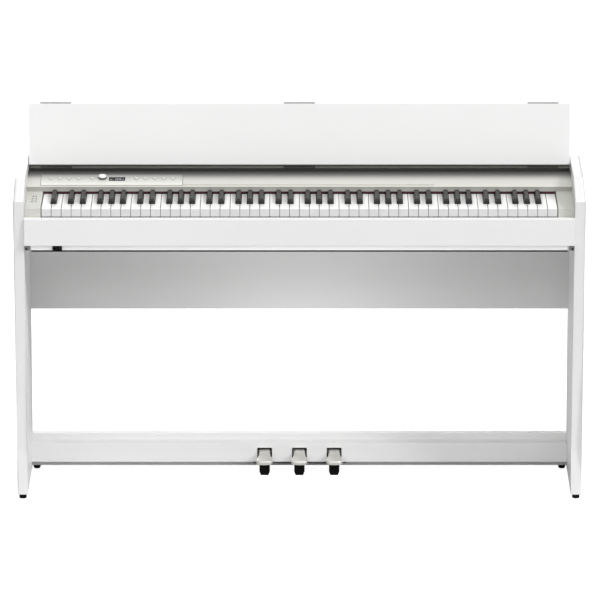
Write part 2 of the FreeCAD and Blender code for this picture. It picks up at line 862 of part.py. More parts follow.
def pedal_brackets():
    """Upright plates inside the pedal box that hold the axle between the pedals."""
    brackets = []
    floor = pedal_box_bottom + pedal_box_wall
    for x in (-1.5 * pedal_pitch, -0.5 * pedal_pitch, 0.5 * pedal_pitch, 1.5 * pedal_pitch):
        plate = box(x - bracket_thickness / 2, x + bracket_thickness / 2,
                    pedal_axle_y - bracket_reach, stretcher_front, floor,
                    pedal_axle_height + bracket_reach)
        bore = bar_x(pedal_axle_y, pedal_axle_height, pedal_axle_radius + running_gap,
                     x - 5.0, x + 5.0)
        brackets.append(plate.cut(bore))
    return brackets


def pedal_axle():
    reach = 1.5 * pedal_pitch + 5.0
    return bar_x(pedal_axle_y, pedal_axle_height, pedal_axle_radius, -reach, reach)


def pedal_springs():
    """Torsion springs round the axle beside each pedal hub, as plain sleeves."""
    springs = []
    for x in pedal_centres().values():
        start = x + pedal_root_width / 2 - pedal_arm_inset + 1.0
        end = start + spring_length
        coil = bar_x(pedal_axle_y, pedal_axle_height, spring_radius, start, end)
        room = bar_x(pedal_axle_y, pedal_axle_height, pedal_axle_radius + spring_gap, start - 1,
                     end + 1)
        springs.append(coil.cut(room))
    return springs


def support_boots():
    """Tapered rubber boots that carry the pedal chassis on the floor."""
    front = pedal_box_front - boot_ahead_of_box
    top = pedal_box_bottom - chassis_thickness
    boots = []
    for x in pedal_centres().values():
        half = boot_width / 2
        boot = box(x - half, x + half, front, front + boot_depth, 0, top)
        for side in (-1, 1):
            corner = x + side * half
            wedge = [
                FreeCAD.Vector(corner, front - 1, 9.0),
                FreeCAD.Vector(corner, front - 1, -1.0),
                FreeCAD.Vector(corner - side * 3.3, front - 1, -1.0),
                FreeCAD.Vector(corner - side * 2.6, front - 1, 2.5),
                FreeCAD.Vector(corner, front - 1, 9.0),
            ]
            cutter = Part.Face(Part.makePolygon(wedge)).extrude(FreeCAD.Vector(0, boot_depth + 2, 0))
            boot = boot.cut(cutter)
        boots.append(boot)
    return boots


# Sockets, speakers and feet
jack_height = keybed_top - keybed_thickness / 2
large_jack_x = phones_x - phones_width / 4
small_jack_x = phones_x + phones_width / 4 + 0.6


def phones_box():
    """Small black box let into the front of the keybed for the headphone sockets."""
    half = phones_width / 2
    body = box(phones_x - half, phones_x + half, phones_front, phones_front + phones_length,
               keybed_bottom, keybed_top)
    for x, radius in ((large_jack_x, large_jack_radius), (small_jack_x, small_jack_radius)):
        sleeve = radius + jack_sleeve_wall + 0.1
        body = body.cut(bar_y(x, jack_height, sleeve, phones_front - 1, phones_front + jack_depth))
    return body


def phones_sockets():
    sockets = []
    for x, radius in ((large_jack_x, large_jack_radius), (small_jack_x, small_jack_radius)):
        sleeve = bar_y(x, jack_height, radius + jack_sleeve_wall, phones_front,
                       phones_front + jack_depth)
        sockets.append(sleeve.cut(bar_y(x, jack_height, radius, phones_front - 1,
                                        phones_front + jack_depth + 1)))
    return sockets


inlet_z = keybed_top + socket_window_sill + socket_window_height / 2
inlet_x = socket_plate_x - inlet_offset


def socket_plate():
    half = socket_plate_width / 2
    plate = box(socket_plate_x - half, socket_plate_x + half, back_inner - plate_gauge, back_inner,
                inlet_z - socket_plate_height / 2, inlet_z + socket_plate_height / 2)
    return plate.cut(bar_y(inlet_x, inlet_z, inlet_collar_radius + 0.2, back_inner - 5,
                           back_inner + 5))


def power_inlet():
    """Round low-voltage inlet behind the socket plate; no lead is drawn."""
    mouth = back_inner + 2.0
    half = inlet_body_half
    body = box(inlet_x - half, inlet_x + half, mouth - inlet_depth - 2.0, back_inner - plate_gauge,
               inlet_z - half, inlet_z + half)
    collar = bar_y(inlet_x, inlet_z, inlet_collar_radius, back_inner - plate_gauge - 1, mouth)
    bore = bar_y(inlet_x, inlet_z, inlet_bore_radius, mouth - inlet_depth, mouth + 1)
    return body.fuse(collar).cut(bore)


def speaker(x):
    """Loudspeaker facing down through the keybed: basket rim, cone housing and magnet."""
    rim = bar_z(x, speaker_y, speaker_radius, keybed_top, keybed_top + speaker_rim_height)
    basket = Part.makeCone(speaker_hole_radius - 4.0, magnet_radius - 6.0,
                           speaker_height - magnet_height,
                           FreeCAD.Vector(x, speaker_y, keybed_top + speaker_rim_height - 1.0))
    magnet = bar_z(x, speaker_y, magnet_radius, keybed_top + speaker_height - magnet_height,
                   keybed_top + speaker_height)
    return rim.fuse(basket).fuse(magnet)


def speaker_grille(x):
    """Slotted disc that covers a speaker hole from below."""
    disc = bar_z(x, speaker_y, speaker_hole_radius - 0.2, keybed_bottom,
                 keybed_bottom + grille_thickness)
    for step in range(-4, 5):
        offset = grille_slot_pitch * step
        reach = math.sqrt((speaker_hole_radius - grille_border) ** 2 - offset ** 2)
        slot_y = speaker_y + offset
        disc = disc.cut(box(x - reach, x + reach, slot_y - grille_slot_width / 2,
                            slot_y + grille_slot_width / 2, keybed_bottom - 1,
                            keybed_bottom + grille_thickness + 1))
    return disc


def feet():
    """Round glides under the legs in front and tapered feet under the stretcher behind."""
    leg_x = (inner_half + outer_half) / 2
    glide = bar_z(leg_x, leg_front_setback + glide_setback, glide_radius, 0, base_gap)
    rear_x = inner_half - rear_foot_radius
    rear_y = stretcher_front + stretcher_thickness / 2
    rear = Part.makeCone(rear_foot_radius - rear_foot_taper, rear_foot_radius, base_gap,
                         FreeCAD.Vector(rear_x, rear_y, 0))
    return [glide, mirrored(glide), rear, mirrored(rear)]


# Build every node
right_side = side_panel()
save("side_panel_right", right_side)
save("side_panel_left", mirrored(right_side))
save("keybed", keybed())
save("key_slip", key_slip())
cheek = cheek_block()
save("cheek_blocks", cheek, mirrored(cheek))
save("modesty_panel", modesty_panel())
save("back_board", back_board())
save("top_board", top_board())
save("stretcher", stretcher())
save("key_frame", key_frame())
for step, note in enumerate(note_names):
    numbers = [n for n in range(key_count) if (n + 9) % 12 == step]
    make_key = white_key if step in white_steps else black_key
    save(f"keys_{note}", *[make_key(n) for n in numbers])
save("key_felt", key_felt())
save("fascia", fascia())
save("control_plate", control_plate())
save("score_ledge", score_ledge())
for node, x in zip(button_nodes, button_xs):
    save(node, button(x))
save("volume_dial", volume_dial())
save("display_window", on_panel(display_space(0, 0, plate_thickness + 0.2)))
save("circuit_board", circuit_board())
save("lid_panel", lid_panel())
save("lid_hinge_leaves", *lid_hinge_leaves())
save("fixed_hinge_leaves", *fixed_hinge_leaves())
save("lid_flap", lid_flap())
save("flap_hinge_leaves", *flap_hinge_leaves())
save("lid_bumpers", *lid_bumpers())
save("pedal_box", pedal_box())
for node, x in pedal_centres().items():
    save(node, pedal(x))
save("pedal_chassis", pedal_chassis(), *pedal_brackets())
save("pedal_axle", pedal_axle())
save("pedal_springs", *pedal_springs())
save("support_boots", *support_boots())
save("phones_box", phones_box(), *phones_sockets())
save("socket_plate", socket_plate())
save("power_inlet", power_inlet())
save("speakers", speaker(-speaker_x), speaker(speaker_x))
save("speaker_grilles", speaker_grille(-speaker_x), speaker_grille(speaker_x))
save("feet", *feet())
screws = [screw(y, z) for y, z in screw_places]
save("panel_screws", *screws, *[mirrored(s) for s in screws])
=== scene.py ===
import json
import math

import bmesh
import bpy
from mathutils import Matrix, Vector

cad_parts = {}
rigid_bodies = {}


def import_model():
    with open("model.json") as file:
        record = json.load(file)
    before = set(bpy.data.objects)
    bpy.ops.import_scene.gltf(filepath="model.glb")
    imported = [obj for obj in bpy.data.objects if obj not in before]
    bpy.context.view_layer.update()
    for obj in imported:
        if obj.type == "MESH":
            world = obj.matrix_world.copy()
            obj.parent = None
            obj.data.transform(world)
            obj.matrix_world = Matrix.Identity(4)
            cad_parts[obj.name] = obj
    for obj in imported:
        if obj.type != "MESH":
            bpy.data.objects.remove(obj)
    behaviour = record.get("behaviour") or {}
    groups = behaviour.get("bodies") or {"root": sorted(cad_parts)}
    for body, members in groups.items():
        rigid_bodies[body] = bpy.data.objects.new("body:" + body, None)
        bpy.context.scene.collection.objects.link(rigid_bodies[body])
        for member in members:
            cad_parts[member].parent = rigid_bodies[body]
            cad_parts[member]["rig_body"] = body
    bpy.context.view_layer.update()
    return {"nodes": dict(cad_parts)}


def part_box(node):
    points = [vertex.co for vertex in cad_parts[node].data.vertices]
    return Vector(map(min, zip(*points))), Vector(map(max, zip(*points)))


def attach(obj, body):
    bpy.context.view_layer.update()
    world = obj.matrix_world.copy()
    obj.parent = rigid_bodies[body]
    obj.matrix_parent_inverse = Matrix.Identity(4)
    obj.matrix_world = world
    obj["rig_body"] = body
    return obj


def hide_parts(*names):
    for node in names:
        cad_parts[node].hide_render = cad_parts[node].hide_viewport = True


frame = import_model()

# ------------------------------------------------------------
# The studio: a pale floor and a round wall that glow white, a broad light in the ceiling in
# front, a smaller one from the right, low fills for the stand, and a long lens.
# ------------------------------------------------------------
floor_reach, floor_strength, floor_gloss = 30.0, 0.88, 0.1
wall_radius, wall_height, wall_sides = 28.0, 60.0, 64
wall_strength, wall_gloss = 1.0, 0.5
room_strength = 0.16


def in_scene(name, data):
    """A new object in the scene that holds a mesh, a lamp or a camera."""
    thing = bpy.data.objects.new(name, data)
    bpy.context.scene.collection.objects.link(thing)
    return thing


floor_glow = bpy.data.collections.new("floor_glow")


def glowing(name, form, strength, gloss):
    """A pale studio surface whose own glow falls on nothing but the floor."""
    paint = bpy.data.materials.new(name + "_paint")
    paint.use_nodes = True
    inputs = paint.node_tree.nodes["Principled BSDF"].inputs
    for socket, value in (("Base Color", (0.5, 0.5, 0.5, 1)), ("Roughness", 0.9),
                          ("Specular IOR Level", gloss), ("Emission Color", (1, 1, 1, 1)),
                          ("Emission Strength", strength)):
        inputs[socket].default_value = value
    mesh = bpy.data.meshes.new("studio_" + name)
    form.to_mesh(mesh)
    form.free()
    mesh.materials.append(paint)
    surface = in_scene("studio_" + name, mesh)
    surface.light_linking.receiver_collection = floor_glow
    return surface


form = bmesh.new()
form.faces.new([form.verts.new((x * floor_reach, y * floor_reach, 0))
                for x, y in ((-1, -1), (1, -1), (1, 1), (-1, 1))])
floor_glow.objects.link(glowing("floor", form, floor_strength, floor_gloss))
form = bmesh.new()
bmesh.ops.create_cone(form, cap_ends=True, segments=wall_sides, radius1=wall_radius,
                      radius2=wall_radius, depth=wall_height)
bmesh.ops.reverse_faces(form, faces=form.faces)
studio_wall = glowing("wall", form, wall_strength, wall_gloss)
for ray in ("diffuse", "glossy", "transmission", "shadow"):
    setattr(studio_wall, "visible_" + ray, False)

room = bpy.data.worlds.new("white_room")
room.use_nodes = True
room.node_tree.nodes["Background"].inputs["Color"].default_value = (1, 1, 1, 1)
room.node_tree.nodes["Background"].inputs["Strength"].default_value = room_strength
bpy.context.scene.world = room
bpy.context.scene.view_settings.view_transform = "Standard"


def softbox(name, place, aim, width, height, power):
    """A rectangular light that faces its aim; it returns the collection that it reaches."""
    lamp = bpy.data.lights.new(name, "AREA")
    lamp.shape = "RECTANGLE"
    lamp.size, lamp.size_y, lamp.energy = width, height, power
    holder = in_scene(name, lamp)
    holder.location = place
    holder.rotation_euler = (Vector(aim) - Vector(place)).to_track_quat("-Z", "Y").to_euler()
    holder.visible_camera = False
    holder.light_linking.receiver_collection = bpy.data.collections.new(name + "_reach")
    return holder.light_linking.receiver_collection


low_fill_reach = softbox("low_fill", (0.0, -0.30, 0.20), (0.0, 0.12, 0.45), 0.3, 0.2, 0.75)
edge_fill_reach = softbox("edge_fill", (0.0, -2.1, 0.05), (0.0, -0.15, 0.64), 1.6, 0.3, 18.0)
for name, strength, spread, towards in (("front_ceiling", 2.20, 70.0, (-0.10, -0.58, 0.81)),
                                        ("right_window", 1.70, 14.0, (0.66, -0.40, 0.63)),
                                        ("rear_fill", 1.0, 30.0, (-0.20, 0.97, 0.14))):
    lamp = bpy.data.lights.new(name, "SUN")
    lamp.energy, lamp.angle = strength, math.radians(spread)
    in_scene(name, lamp).rotation_euler = Vector(towards).to_track_quat("Z", "Y").to_euler()

eye = bpy.data.cameras.new("long_lens")
eye.sensor_width, eye.lens, eye.shift_x = 36.0, 367.65, 0.001
eye.clip_start, eye.clip_end = 1.0, 100.0
camera = in_scene("long_lens", eye)
camera.location = (0.0, -14.30088, 4.18072)
camera.rotation_euler = (math.radians(75.4424), 0, 0)
bpy.context.scene.camera = camera

# ------------------------------------------------------------
# Case and stand: side panels, keybed, slip, modesty board, back, top and rear stretcher.
# Fibreboard under a satin white lacquer, with softened arrises; screwed from the sides. The
# modesty board's lacquer is painted greyer: painted shade from the keybed above it.
# ------------------------------------------------------------


def add(tree, kind, wires=(), **settings):
    """A node with its settings, fed by {input: source socket or value}; gives its outputs."""
    node = tree.nodes.new(kind)
    for setting, value in settings.items():
        setattr(node, setting, value)
    for socket, source in dict(wires).items():
        if isinstance(source, bpy.types.NodeSocket):
            tree.links.new(source, node.inputs[socket])
        else:
            node.inputs[socket].default_value = source
    return node.outputs


def ramp(tree, factor, stops):
    """A colour ramp through (position, colour) stops."""
    node = tree.nodes.new("ShaderNodeValToRGB")
    tree.links.new(factor, node.inputs["Fac"])
    marks = node.color_ramp.elements
    for mark, (position, colour) in zip(marks, (stops[0], stops[-1])):
        mark.position = position
        mark.color = (*colour, 1)
    for position, colour in stops[1:-1]:
        marks.new(position).color = (*colour, 1)
    return node.outputs["Color"]


def finish(name, colour, mottle, roughness, rough_spread, grain, relief, stretch=(1, 1, 1),
           patch=6.0, **shader):
    """A sprayed, moulded or metal surface: faint colour drift, uneven gloss and a fine relief."""
    paint = bpy.data.materials.new(name)
    paint.use_nodes = True
    tree = paint.node_tree
    body = tree.nodes["Principled BSDF"].inputs
    for socket, value in shader.items():
        body[socket.replace("_", " ")].default_value = value
    where = add(tree, "ShaderNodeMapping",
                {"Vector": add(tree, "ShaderNodeTexCoord")["Object"], "Scale": stretch})[0]
    drift = add(tree, "ShaderNodeTexNoise",
                {"Vector": where, "Scale": patch, "Detail": 4.0})["Fac"]
    fine = add(tree, "ShaderNodeTexNoise", {"Vector": where, "Scale": grain, "Detail": 3.0})["Fac"]
    gloss = add(tree, "ShaderNodeMapRange",
                {"Value": drift, "To Min": roughness - rough_spread,
                 "To Max": roughness + rough_spread})["Result"]
    dent = add(tree, "ShaderNodeBump", {"Height": fine, "Strength": 1.0, "Distance": relief})[0]
    tree.links.new(ramp(tree, drift, ((0.3, mottle), (0.7, colour))), body["Base Color"])
    tree.links.new(gloss, body["Roughness"])
    tree.links.new(dent, body["Normal"])
    return paint


def joined_up(node):
    """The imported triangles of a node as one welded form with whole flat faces."""
    form = bmesh.new()
    form.from_mesh(frame["nodes"][node].data)
    bmesh.ops.remove_doubles(form, verts=form.verts, dist=2e-6)
    bmesh.ops.dissolve_limit(form, angle_limit=math.radians(0.6), verts=form.verts,
                             edges=form.edges, delimit=set())
    return form


def place_piece(name, mesh, body, slot, *nodes):
    """Puts a finished mesh in the scene on its body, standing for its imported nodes."""
    piece = in_scene(name, mesh)
    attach(piece, body)
    if nodes:
        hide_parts(*nodes)
    return piece


def ease(piece, width, steps=2, angle=35.0):
    """Rounds a piece's sharp edges, as sanding, moulding or pressing leaves them."""
    rounding = piece.modifiers.new("eased_edges", "BEVEL")
    rounding.width = width
    rounding.segments = steps
    rounding.limit_method = "ANGLE"
    rounding.angle_limit = math.radians(angle)
    rounding.harden_normals = True
    return piece


def to_mesh(name, form, *paints):
    """A smooth-shaded mesh from a form, with its materials."""
    mesh = bpy.data.meshes.new(name)
    form.to_mesh(mesh)
    form.free()
    for old in ("custom_normal", "sharp_edge", "sharp_face"):
        if old in mesh.attributes:
            mesh.attributes.remove(mesh.attributes[old])
    for paint in paints:
        mesh.materials.append(paint)
    mesh.shade_smooth()
    return mesh


def fitted(name, form, slot, *paints, node=None, body="cabinet", sharp=None):
    """A piece from its form: meshed, painted, edges sharp past an angle, put on its body."""
    mesh = to_mesh(name, form, *paints)
    if sharp:
        mesh.set_sharp_from_angle(angle=math.radians(sharp))
    return place_piece(name, mesh, body, slot, *([node] if node else []))


def eased_copy(node, width, paint, slot, steps=2, angle=35.0):
    """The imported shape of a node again, welded, with rounded edges and its finish."""
    form = joined_up(node)
    for face in form.faces:
        face.material_index = 0
    piece = fitted(node + "_form", form, slot, paint, node=node,
                   body=frame["nodes"][node]["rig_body"])
    return ease(piece, width, steps, angle)


def face_out(form):
    """Turns every face of a form outward."""
    bmesh.ops.recalc_face_normals(form, faces=form.faces)


def skin(form, rings, closed=False, capped=True):
    """Faces from each ring of points to the next; closed joins the last ring to the first."""
    if closed:
        rings = rings + rings[:1]
    for one, two in zip(rings, rings[1:]):
        for i in range(len(one)):
            form.faces.new((one[i - 1], one[i], two[i], two[i - 1]))
    if capped and not closed:
        form.faces.new(rings[0])
        form.faces.new(rings[-1])
    face_out(form)


def settled(name, *things):
    """The first object's mesh with its modifiers applied; then all the objects go."""
    bpy.context.view_layer.update()
    shown = things[0].evaluated_get(bpy.context.evaluated_depsgraph_get())
    mesh = bpy.data.meshes.new_from_object(shown)
    for thing in things:
        bpy.data.objects.remove(thing)
    mesh.name = name
    return mesh


lacquer_coat = {"patch": 2.2, "Coat_Weight": 0.15, "Coat_Roughness": 0.35}
white_lacquer = finish("white_lacquer", (0.86, 0.86, 0.858), (0.84, 0.84, 0.838), 0.42, 0.05,
                       900.0, 0.000012, **lacquer_coat)
# A greyer copy of the white lacquer for the modesty board: painted shade for its place under the
# keybed.
painted_shade_lacquer = finish("painted_shade_lacquer", (0.76, 0.76, 0.758), (0.74, 0.74, 0.738), 0.42, 0.05,
                        900.0, 0.000012, **lacquer_coat)
board_edge = 0.0012
for board in ("keybed", "key_slip", "modesty_panel", "back_board", "top_board", "stretcher"):
    lacquer = painted_shade_lacquer if board == "modesty_panel" else white_lacquer
    piece = eased_copy(board, board_edge, lacquer, "white_lacquered_board")
    if board in ("keybed", "modesty_panel"):
        low_fill_reach.objects.link(piece)
    if board == "keybed":
        edge_fill_reach.objects.link(piece)

outer_round, inner_round, square_round = 0.0075, 0.0020, 0.0012
side_low, side_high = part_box("side_panel_left")
nose_z, brow_y, back_z, leg_y, leg_z, toe_z = 0.7535, -0.0725, 0.740, -0.1105, 0.120, 0.030
side_corners = [
    (side_low.y, nose_z, 0.0030, outer_round), (brow_y, side_high.z, 0.0150, outer_round),
    (side_high.y, side_high.z, 0.0100, outer_round), (side_high.y, back_z, 0, square_round),
    (side_high.y, side_low.z, 0.0015, square_round), (leg_y, side_low.z, 0.0015, square_round),
    (leg_y, toe_z, 0, outer_round), (leg_y, leg_z, 0.0400, outer_round),
]
screw_yz = [(-0.0725, 0.638), (0.1075, 0.638), (0.135, 0.462), (0.135, 0.582), (0.1605, 0.038),
            (0.1605, 0.073)]
counterbore, counterbore_depth = 0.0072, 0.0031


def rounded_outline(corners, steps=5):
    """Points (place, inward direction, edge rounding) along an outline with arcs at corners."""
    line = []
    for i, (y, z, radius, edge) in enumerate(corners):
        here = Vector((y, z))
        back = (Vector(corners[i - 1][:2]) - here).normalized()
        ahead = (Vector(corners[(i + 1) % len(corners)][:2]) - here).normalized()
        if not radius:
            line.append((here, Vector((ahead.y, -ahead.x)), edge))
            continue
        half = back.angle(ahead) / 2
        centre = here + (back + ahead).normalized() * radius / math.sin(half)
        first = here + back * radius / math.tan(half) - centre
        last = here + ahead * radius / math.tan(half) - centre
        for step in range(steps + 1):
            spoke = (first * (steps - step) + last * step).normalized()
            line.append((centre + spoke * radius, -spoke, edge))
    return line


def side_board(name, inner_x, outer_x):
    """A side panel: one outline carried across the board, its edges rolled over, then bored."""
    out = 1 if outer_x > inner_x else -1
    form = bmesh.new()
    rings = []
    for face_x, way, steps, limit in ((outer_x, -out, 6, 1.0), (inner_x, out, 3, inner_round)):
        face_rings = []
        for step in range(steps + 1):
            a = math.pi / 2 * step / steps
            ring = []
            for spot, inward, edge in rounded_outline(side_corners):
                edge = min(edge, limit)
                y, z = spot + inward * edge * (1 - math.sin(a))
                ring.append(form.verts.new((face_x + way * edge * (1 - math.cos(a)), y, z)))
            face_rings.append(ring)
        rings += face_rings if face_x == outer_x else face_rings[::-1]
    skin(form, rings)
    board = in_scene(name, to_mesh(name, form))
    drill = bmesh.new()
    for y, z in screw_yz:
        turn = Matrix.Translation((outer_x, y, z)) @ Matrix.Rotation(math.pi / 2, 4, "Y")
        bmesh.ops.create_cone(drill, cap_ends=True, segments=32, radius1=counterbore,
                              radius2=counterbore, depth=2 * counterbore_depth, matrix=turn)
    cutter = in_scene(name + "_drill", to_mesh(name + "_drill", drill))
    boring = board.modifiers.new("boring", "BOOLEAN")
    boring.object = cutter
    boring.solver = "EXACT"
    mesh = settled(name, board, cutter)
    mesh.materials.clear()
    mesh.materials.append(white_lacquer)
    mesh.shade_smooth()
    mesh.set_sharp_from_angle(angle=math.radians(40))
    return mesh


for board in ("side_panel_left", "side_panel_right"):
    low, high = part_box(board)
    ends = (high.x, low.x) if board == "side_panel_left" else (low.x, high.x)
    piece = place_piece(board + "_form", side_board(board + "_form", *ends), "cabinet",
                        "white_lacquered_board", board)
    low_fill_reach.objects.link(piece)
    evening = piece.modifiers.new("flat_faces", "WEIGHTED_NORMAL")
    evening.keep_sharp = True
    evening.weight = 100

# ------------------------------------------------------------
# Keybed trim: a thin black steel channel screwed under the keybed's front, which is painted shade
# for the shadow line there, and a small zinc angle with two bolts in each corner notch, tying the
# keybed to the side panels.
# ------------------------------------------------------------
black_steel = finish("black_steel", (0.010, 0.010, 0.011), (0.006, 0.006, 0.007), 0.5, 0.08,
                     1800.0, 0.00003, Specular_IOR_Level=0.2)


def block(form, x0, x1, y0, y1, z0, z1):
    """Adds a small rectangular bar to a form."""
    corners = [form.verts.new((x, y, z)) for x in (x0, x1) for y in (y0, y1) for z in (z0, z1)]
    for face in ((0, 1, 3, 2), (4, 6, 7, 5), (0, 4, 5, 1), (2, 3, 7, 6), (0, 2, 6, 4),
                 (1, 5, 7, 3)):
        form.faces.new([corners[i] for i in face])


keybed_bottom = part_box("keybed")[0].z
notch_x, channel_drop, channel_front, channel_gauge, channel_depth = (0.638, 0.0040, -0.1640,
                                                                      0.0012, 0.030)
# The black channel stands in for the shadow line under the keybed's front: painted shade.
form = bmesh.new()
block(form, -notch_x, notch_x, channel_front, channel_front + channel_gauge,
      keybed_bottom - channel_drop, keybed_bottom)
block(form, -notch_x, notch_x, channel_front + channel_gauge, channel_front + channel_depth,
      keybed_bottom - channel_gauge, keybed_bottom)
face_out(form)
ease(fitted("keybed_channel", form, "black_steel", black_steel), 0.0003, 1)

zinc_steel = finish("zinc_steel", (0.44, 0.44, 0.45), (0.34, 0.34, 0.35), 0.45, 0.08, 900.0,
                    0.00002, patch=160.0, Metallic=0.3)
angle_gauge, angle_front, angle_rear, angle_low, angle_top = 0.0016, -0.150, -0.128, 0.6275, 0.6436
wall_x, foot_x = 0.6544, 0.6418
bolt_radius, bolt_head, bolt_xz = 0.0026, 0.0016, ((0.6455, 0.6400), (0.6500, 0.6320))
form = bmesh.new()
bolts = bmesh.new()
for side in (-1, 1):
    wall, foot = side * wall_x, side * foot_x
    across = sorted((foot, wall))
    block(form, *sorted((wall, wall - side * angle_gauge)), angle_front, angle_rear, angle_low,
          angle_top)
    block(form, *across, angle_front, angle_rear, angle_top - angle_gauge, angle_top)
    block(form, *across, angle_front - angle_gauge, angle_front, angle_low, angle_top)
    for x, z in bolt_xz:
        centre = Matrix.Translation((side * x, angle_front - angle_gauge - bolt_head / 2, z))
        bmesh.ops.create_cone(bolts, cap_ends=True, segments=6, radius1=bolt_radius,
                              radius2=bolt_radius, depth=bolt_head,
                              matrix=centre @ Matrix.Rotation(math.pi / 2, 4, "X"))
face_out(form)
ease(fitted("corner_angles", form, "grey_steel", zinc_steel), 0.0003, 1)
ease(fitted("corner_bolts", bolts, "black_steel", black_steel), 0.0002, 1)

# ------------------------------------------------------------
# Keyboard chassis under the keys: moulded plastic rails and ribs with a steel pivot rod.
# Seen only through the gaps; it is one black moulding.
# ------------------------------------------------------------
black_moulding = finish("black_moulding", (0.008, 0.008, 0.009), (0.005, 0.005, 0.006), 0.5,
                        0.06, 700.0, 0.00003, Specular_IOR_Level=0.15)
eased_copy("key_frame", 0.0008, black_moulding, "black_plastic", 1)

# ------------------------------------------------------------
# White keys: fifty-two moulded keys with a rounded front edge and a deep front lip, cut
# back beside their black keys. Every octave repeats; the lowest A and top C are whole.
# ------------------------------------------------------------
key_pitch, key_gap = 0.0236, 0.0011
key_front, key_rear = -0.1525, 0.0775
key_top, key_bottom, lip_bottom = 0.731, 0.717, 0.711
lip_back = key_front + 0.004
slot_front = -0.107
keyboard_left = -26 * key_pitch
octave_width = 7 * key_pitch
black_base = 0.0127
black_slot = black_base + 0.002
front_rounding, key_edge = 0.0022, 0.0005


def black_centre(step):
    """Centre of a black key from the left edge of its octave."""
    if step < 5:
        start, whites, blacks, place = 0, 3, 2, (step - 1) // 2
    else:
        start, whites, blacks, place = 3, 4, 3, (step - 6) // 2
    tail = (whites * key_pitch - blacks * black_slot) / whites
    return start * key_pitch + (place + 1) * tail + (place + 0.5) * black_slot


def push_faces(form, faces, shift):
    """Extrudes some faces of a form and moves them by a shift."""
    pushed = bmesh.ops.extrude_face_region(form, geom=faces)
    moved = [v for v in pushed["geom"] if isinstance(v, bmesh.types.BMVert)]
    bmesh.ops.translate(form, verts=moved, vec=shift)


def white_key(name, order, left_cut, right_cut):
    """One white key in its octave's own frame; a cut is where a black key's slot starts."""
    x0 = order * key_pitch + key_gap / 2
    x1 = (order + 1) * key_pitch - key_gap / 2
    plan = [(x0, lip_back), (x1, lip_back)]
    if right_cut is None:
        plan += [(x1, key_rear)]
    else:
        plan += [(x1, slot_front), (right_cut, slot_front), (right_cut, key_rear)]
    if left_cut is None:
        plan += [(x0, key_rear)]
    else:
        plan += [(left_cut, key_rear), (left_cut, slot_front), (x0, slot_front)]
    form = bmesh.new()
    corners = [form.verts.new((x, y, key_top)) for x, y in plan]
    front = [form.verts.new((x, key_front, key_top)) for x in (x0, x1)]
    body = form.faces.new(corners)
    strip = form.faces.new((front[0], front[1], corners[1], corners[0]))
    push_faces(form, [body, strip], (0, 0, key_bottom - key_top))
    under = [f for f in form.faces if all(abs(v.co.z - key_bottom) < 1e-6 and
                                          v.co.y < lip_back + 1e-6 for v in f.verts)]
    push_faces(form, under, (0, 0, lip_bottom - key_bottom))
    bmesh.ops.delete(form, geom=under, context="FACES_ONLY")
    face_out(form)
    bmesh.ops.dissolve_limit(form, angle_limit=math.radians(0.5), verts=form.verts,
                             edges=form.edges)
    nose = [e for e in form.edges if all(abs(v.co.y - key_front) < 1e-6 and
                                         abs(v.co.z - key_top) < 1e-6 for v in e.verts)]
    bmesh.ops.bevel(form, geom=nose, offset=front_rounding, segments=3, profile=0.5,
                    affect="EDGES")
    return ease(in_scene(name, to_mesh(name, form)), key_edge, 1, 50.0)


def new_tree(name, *sockets):
    """An empty Geometry Nodes tree with named inputs, and those inputs by name."""
    tree = bpy.data.node_groups.new(name, "GeometryNodeTree")
    for label, kind in sockets:
        tree.interface.new_socket(label, in_out="INPUT", socket_type="NodeSocket" + kind)
    tree.interface.new_socket("Geometry", in_out="OUTPUT", socket_type="NodeSocketGeometry")
    return tree, tree.nodes.new("NodeGroupInput").outputs


def at(tree, **axes):
    """A vector from its X, Y and Z."""
    return add(tree, "ShaderNodeCombineXYZ", axes)[0]


def shape_of(tree, thing):
    """The geometry of an object input."""
    return add(tree, "GeometryNodeObjectInfo", {"Object": thing})["Geometry"]


def copies_on(tree, points, shape, **more):
    """Instances of a shape on points."""
    return add(tree, "GeometryNodeInstanceOnPoints",
               {"Points": points, "Instance": shape, **more})[0]


def line_of_points(tree, count, start, step):
    """Evenly stepped points."""
    return add(tree, "GeometryNodeMeshLine",
               {"Count": count, "Start Location": start, "Offset": step}, mode="OFFSET")[0]


def joined(tree, *parts):
    """Several geometries as one."""
    node = tree.nodes.new("GeometryNodeJoinGeometry")
    for part in parts:
        tree.links.new(part, node.inputs[0])
    return node.outputs[0]


def close_tree(tree, geometry, material):
    """Ends a tree: instances made real, one material, and the output."""
    real = add(tree, "GeometryNodeRealizeInstances", {"Geometry": geometry})[0]
    painted = add(tree, "GeometryNodeSetMaterial", {"Geometry": real, "Material": material})[0]
    add(tree, "NodeGroupOutput", {"Geometry": painted})


def grown(name, tree, values):
    """Runs a tree with its inputs and returns the result as a plain mesh."""
    seed = in_scene(name + "_seed", bpy.data.meshes.new(name + "_seed"))
    grower = seed.modifiers.new("grow", "NODES")
    grower.node_group = tree
    for item in tree.interface.items_tree:
        if item.in_out == "INPUT" and item.name in values:
            grower[item.identifier] = values[item.name]
    return settled(name, seed)


row_tree, given = new_tree("key_row", ("Key", "Object"), ("End key", "Object"),
                           ("First left", "Float"), ("Octave", "Float"), ("Count", "Int"),
                           ("End left", "Float"), ("Plastic", "Material"))
row_line = line_of_points(row_tree, given["Count"], at(row_tree, X=given["First left"]),
                          at(row_tree, X=given["Octave"]))
row_keys = copies_on(row_tree, row_line, shape_of(row_tree, given["Key"]))
row_end = add(row_tree, "GeometryNodeTransform",
              {"Geometry": shape_of(row_tree, given["End key"]),
               "Translation": at(row_tree, X=given["End left"])})[0]
close_tree(row_tree, joined(row_tree, row_keys, row_end), given["Plastic"])
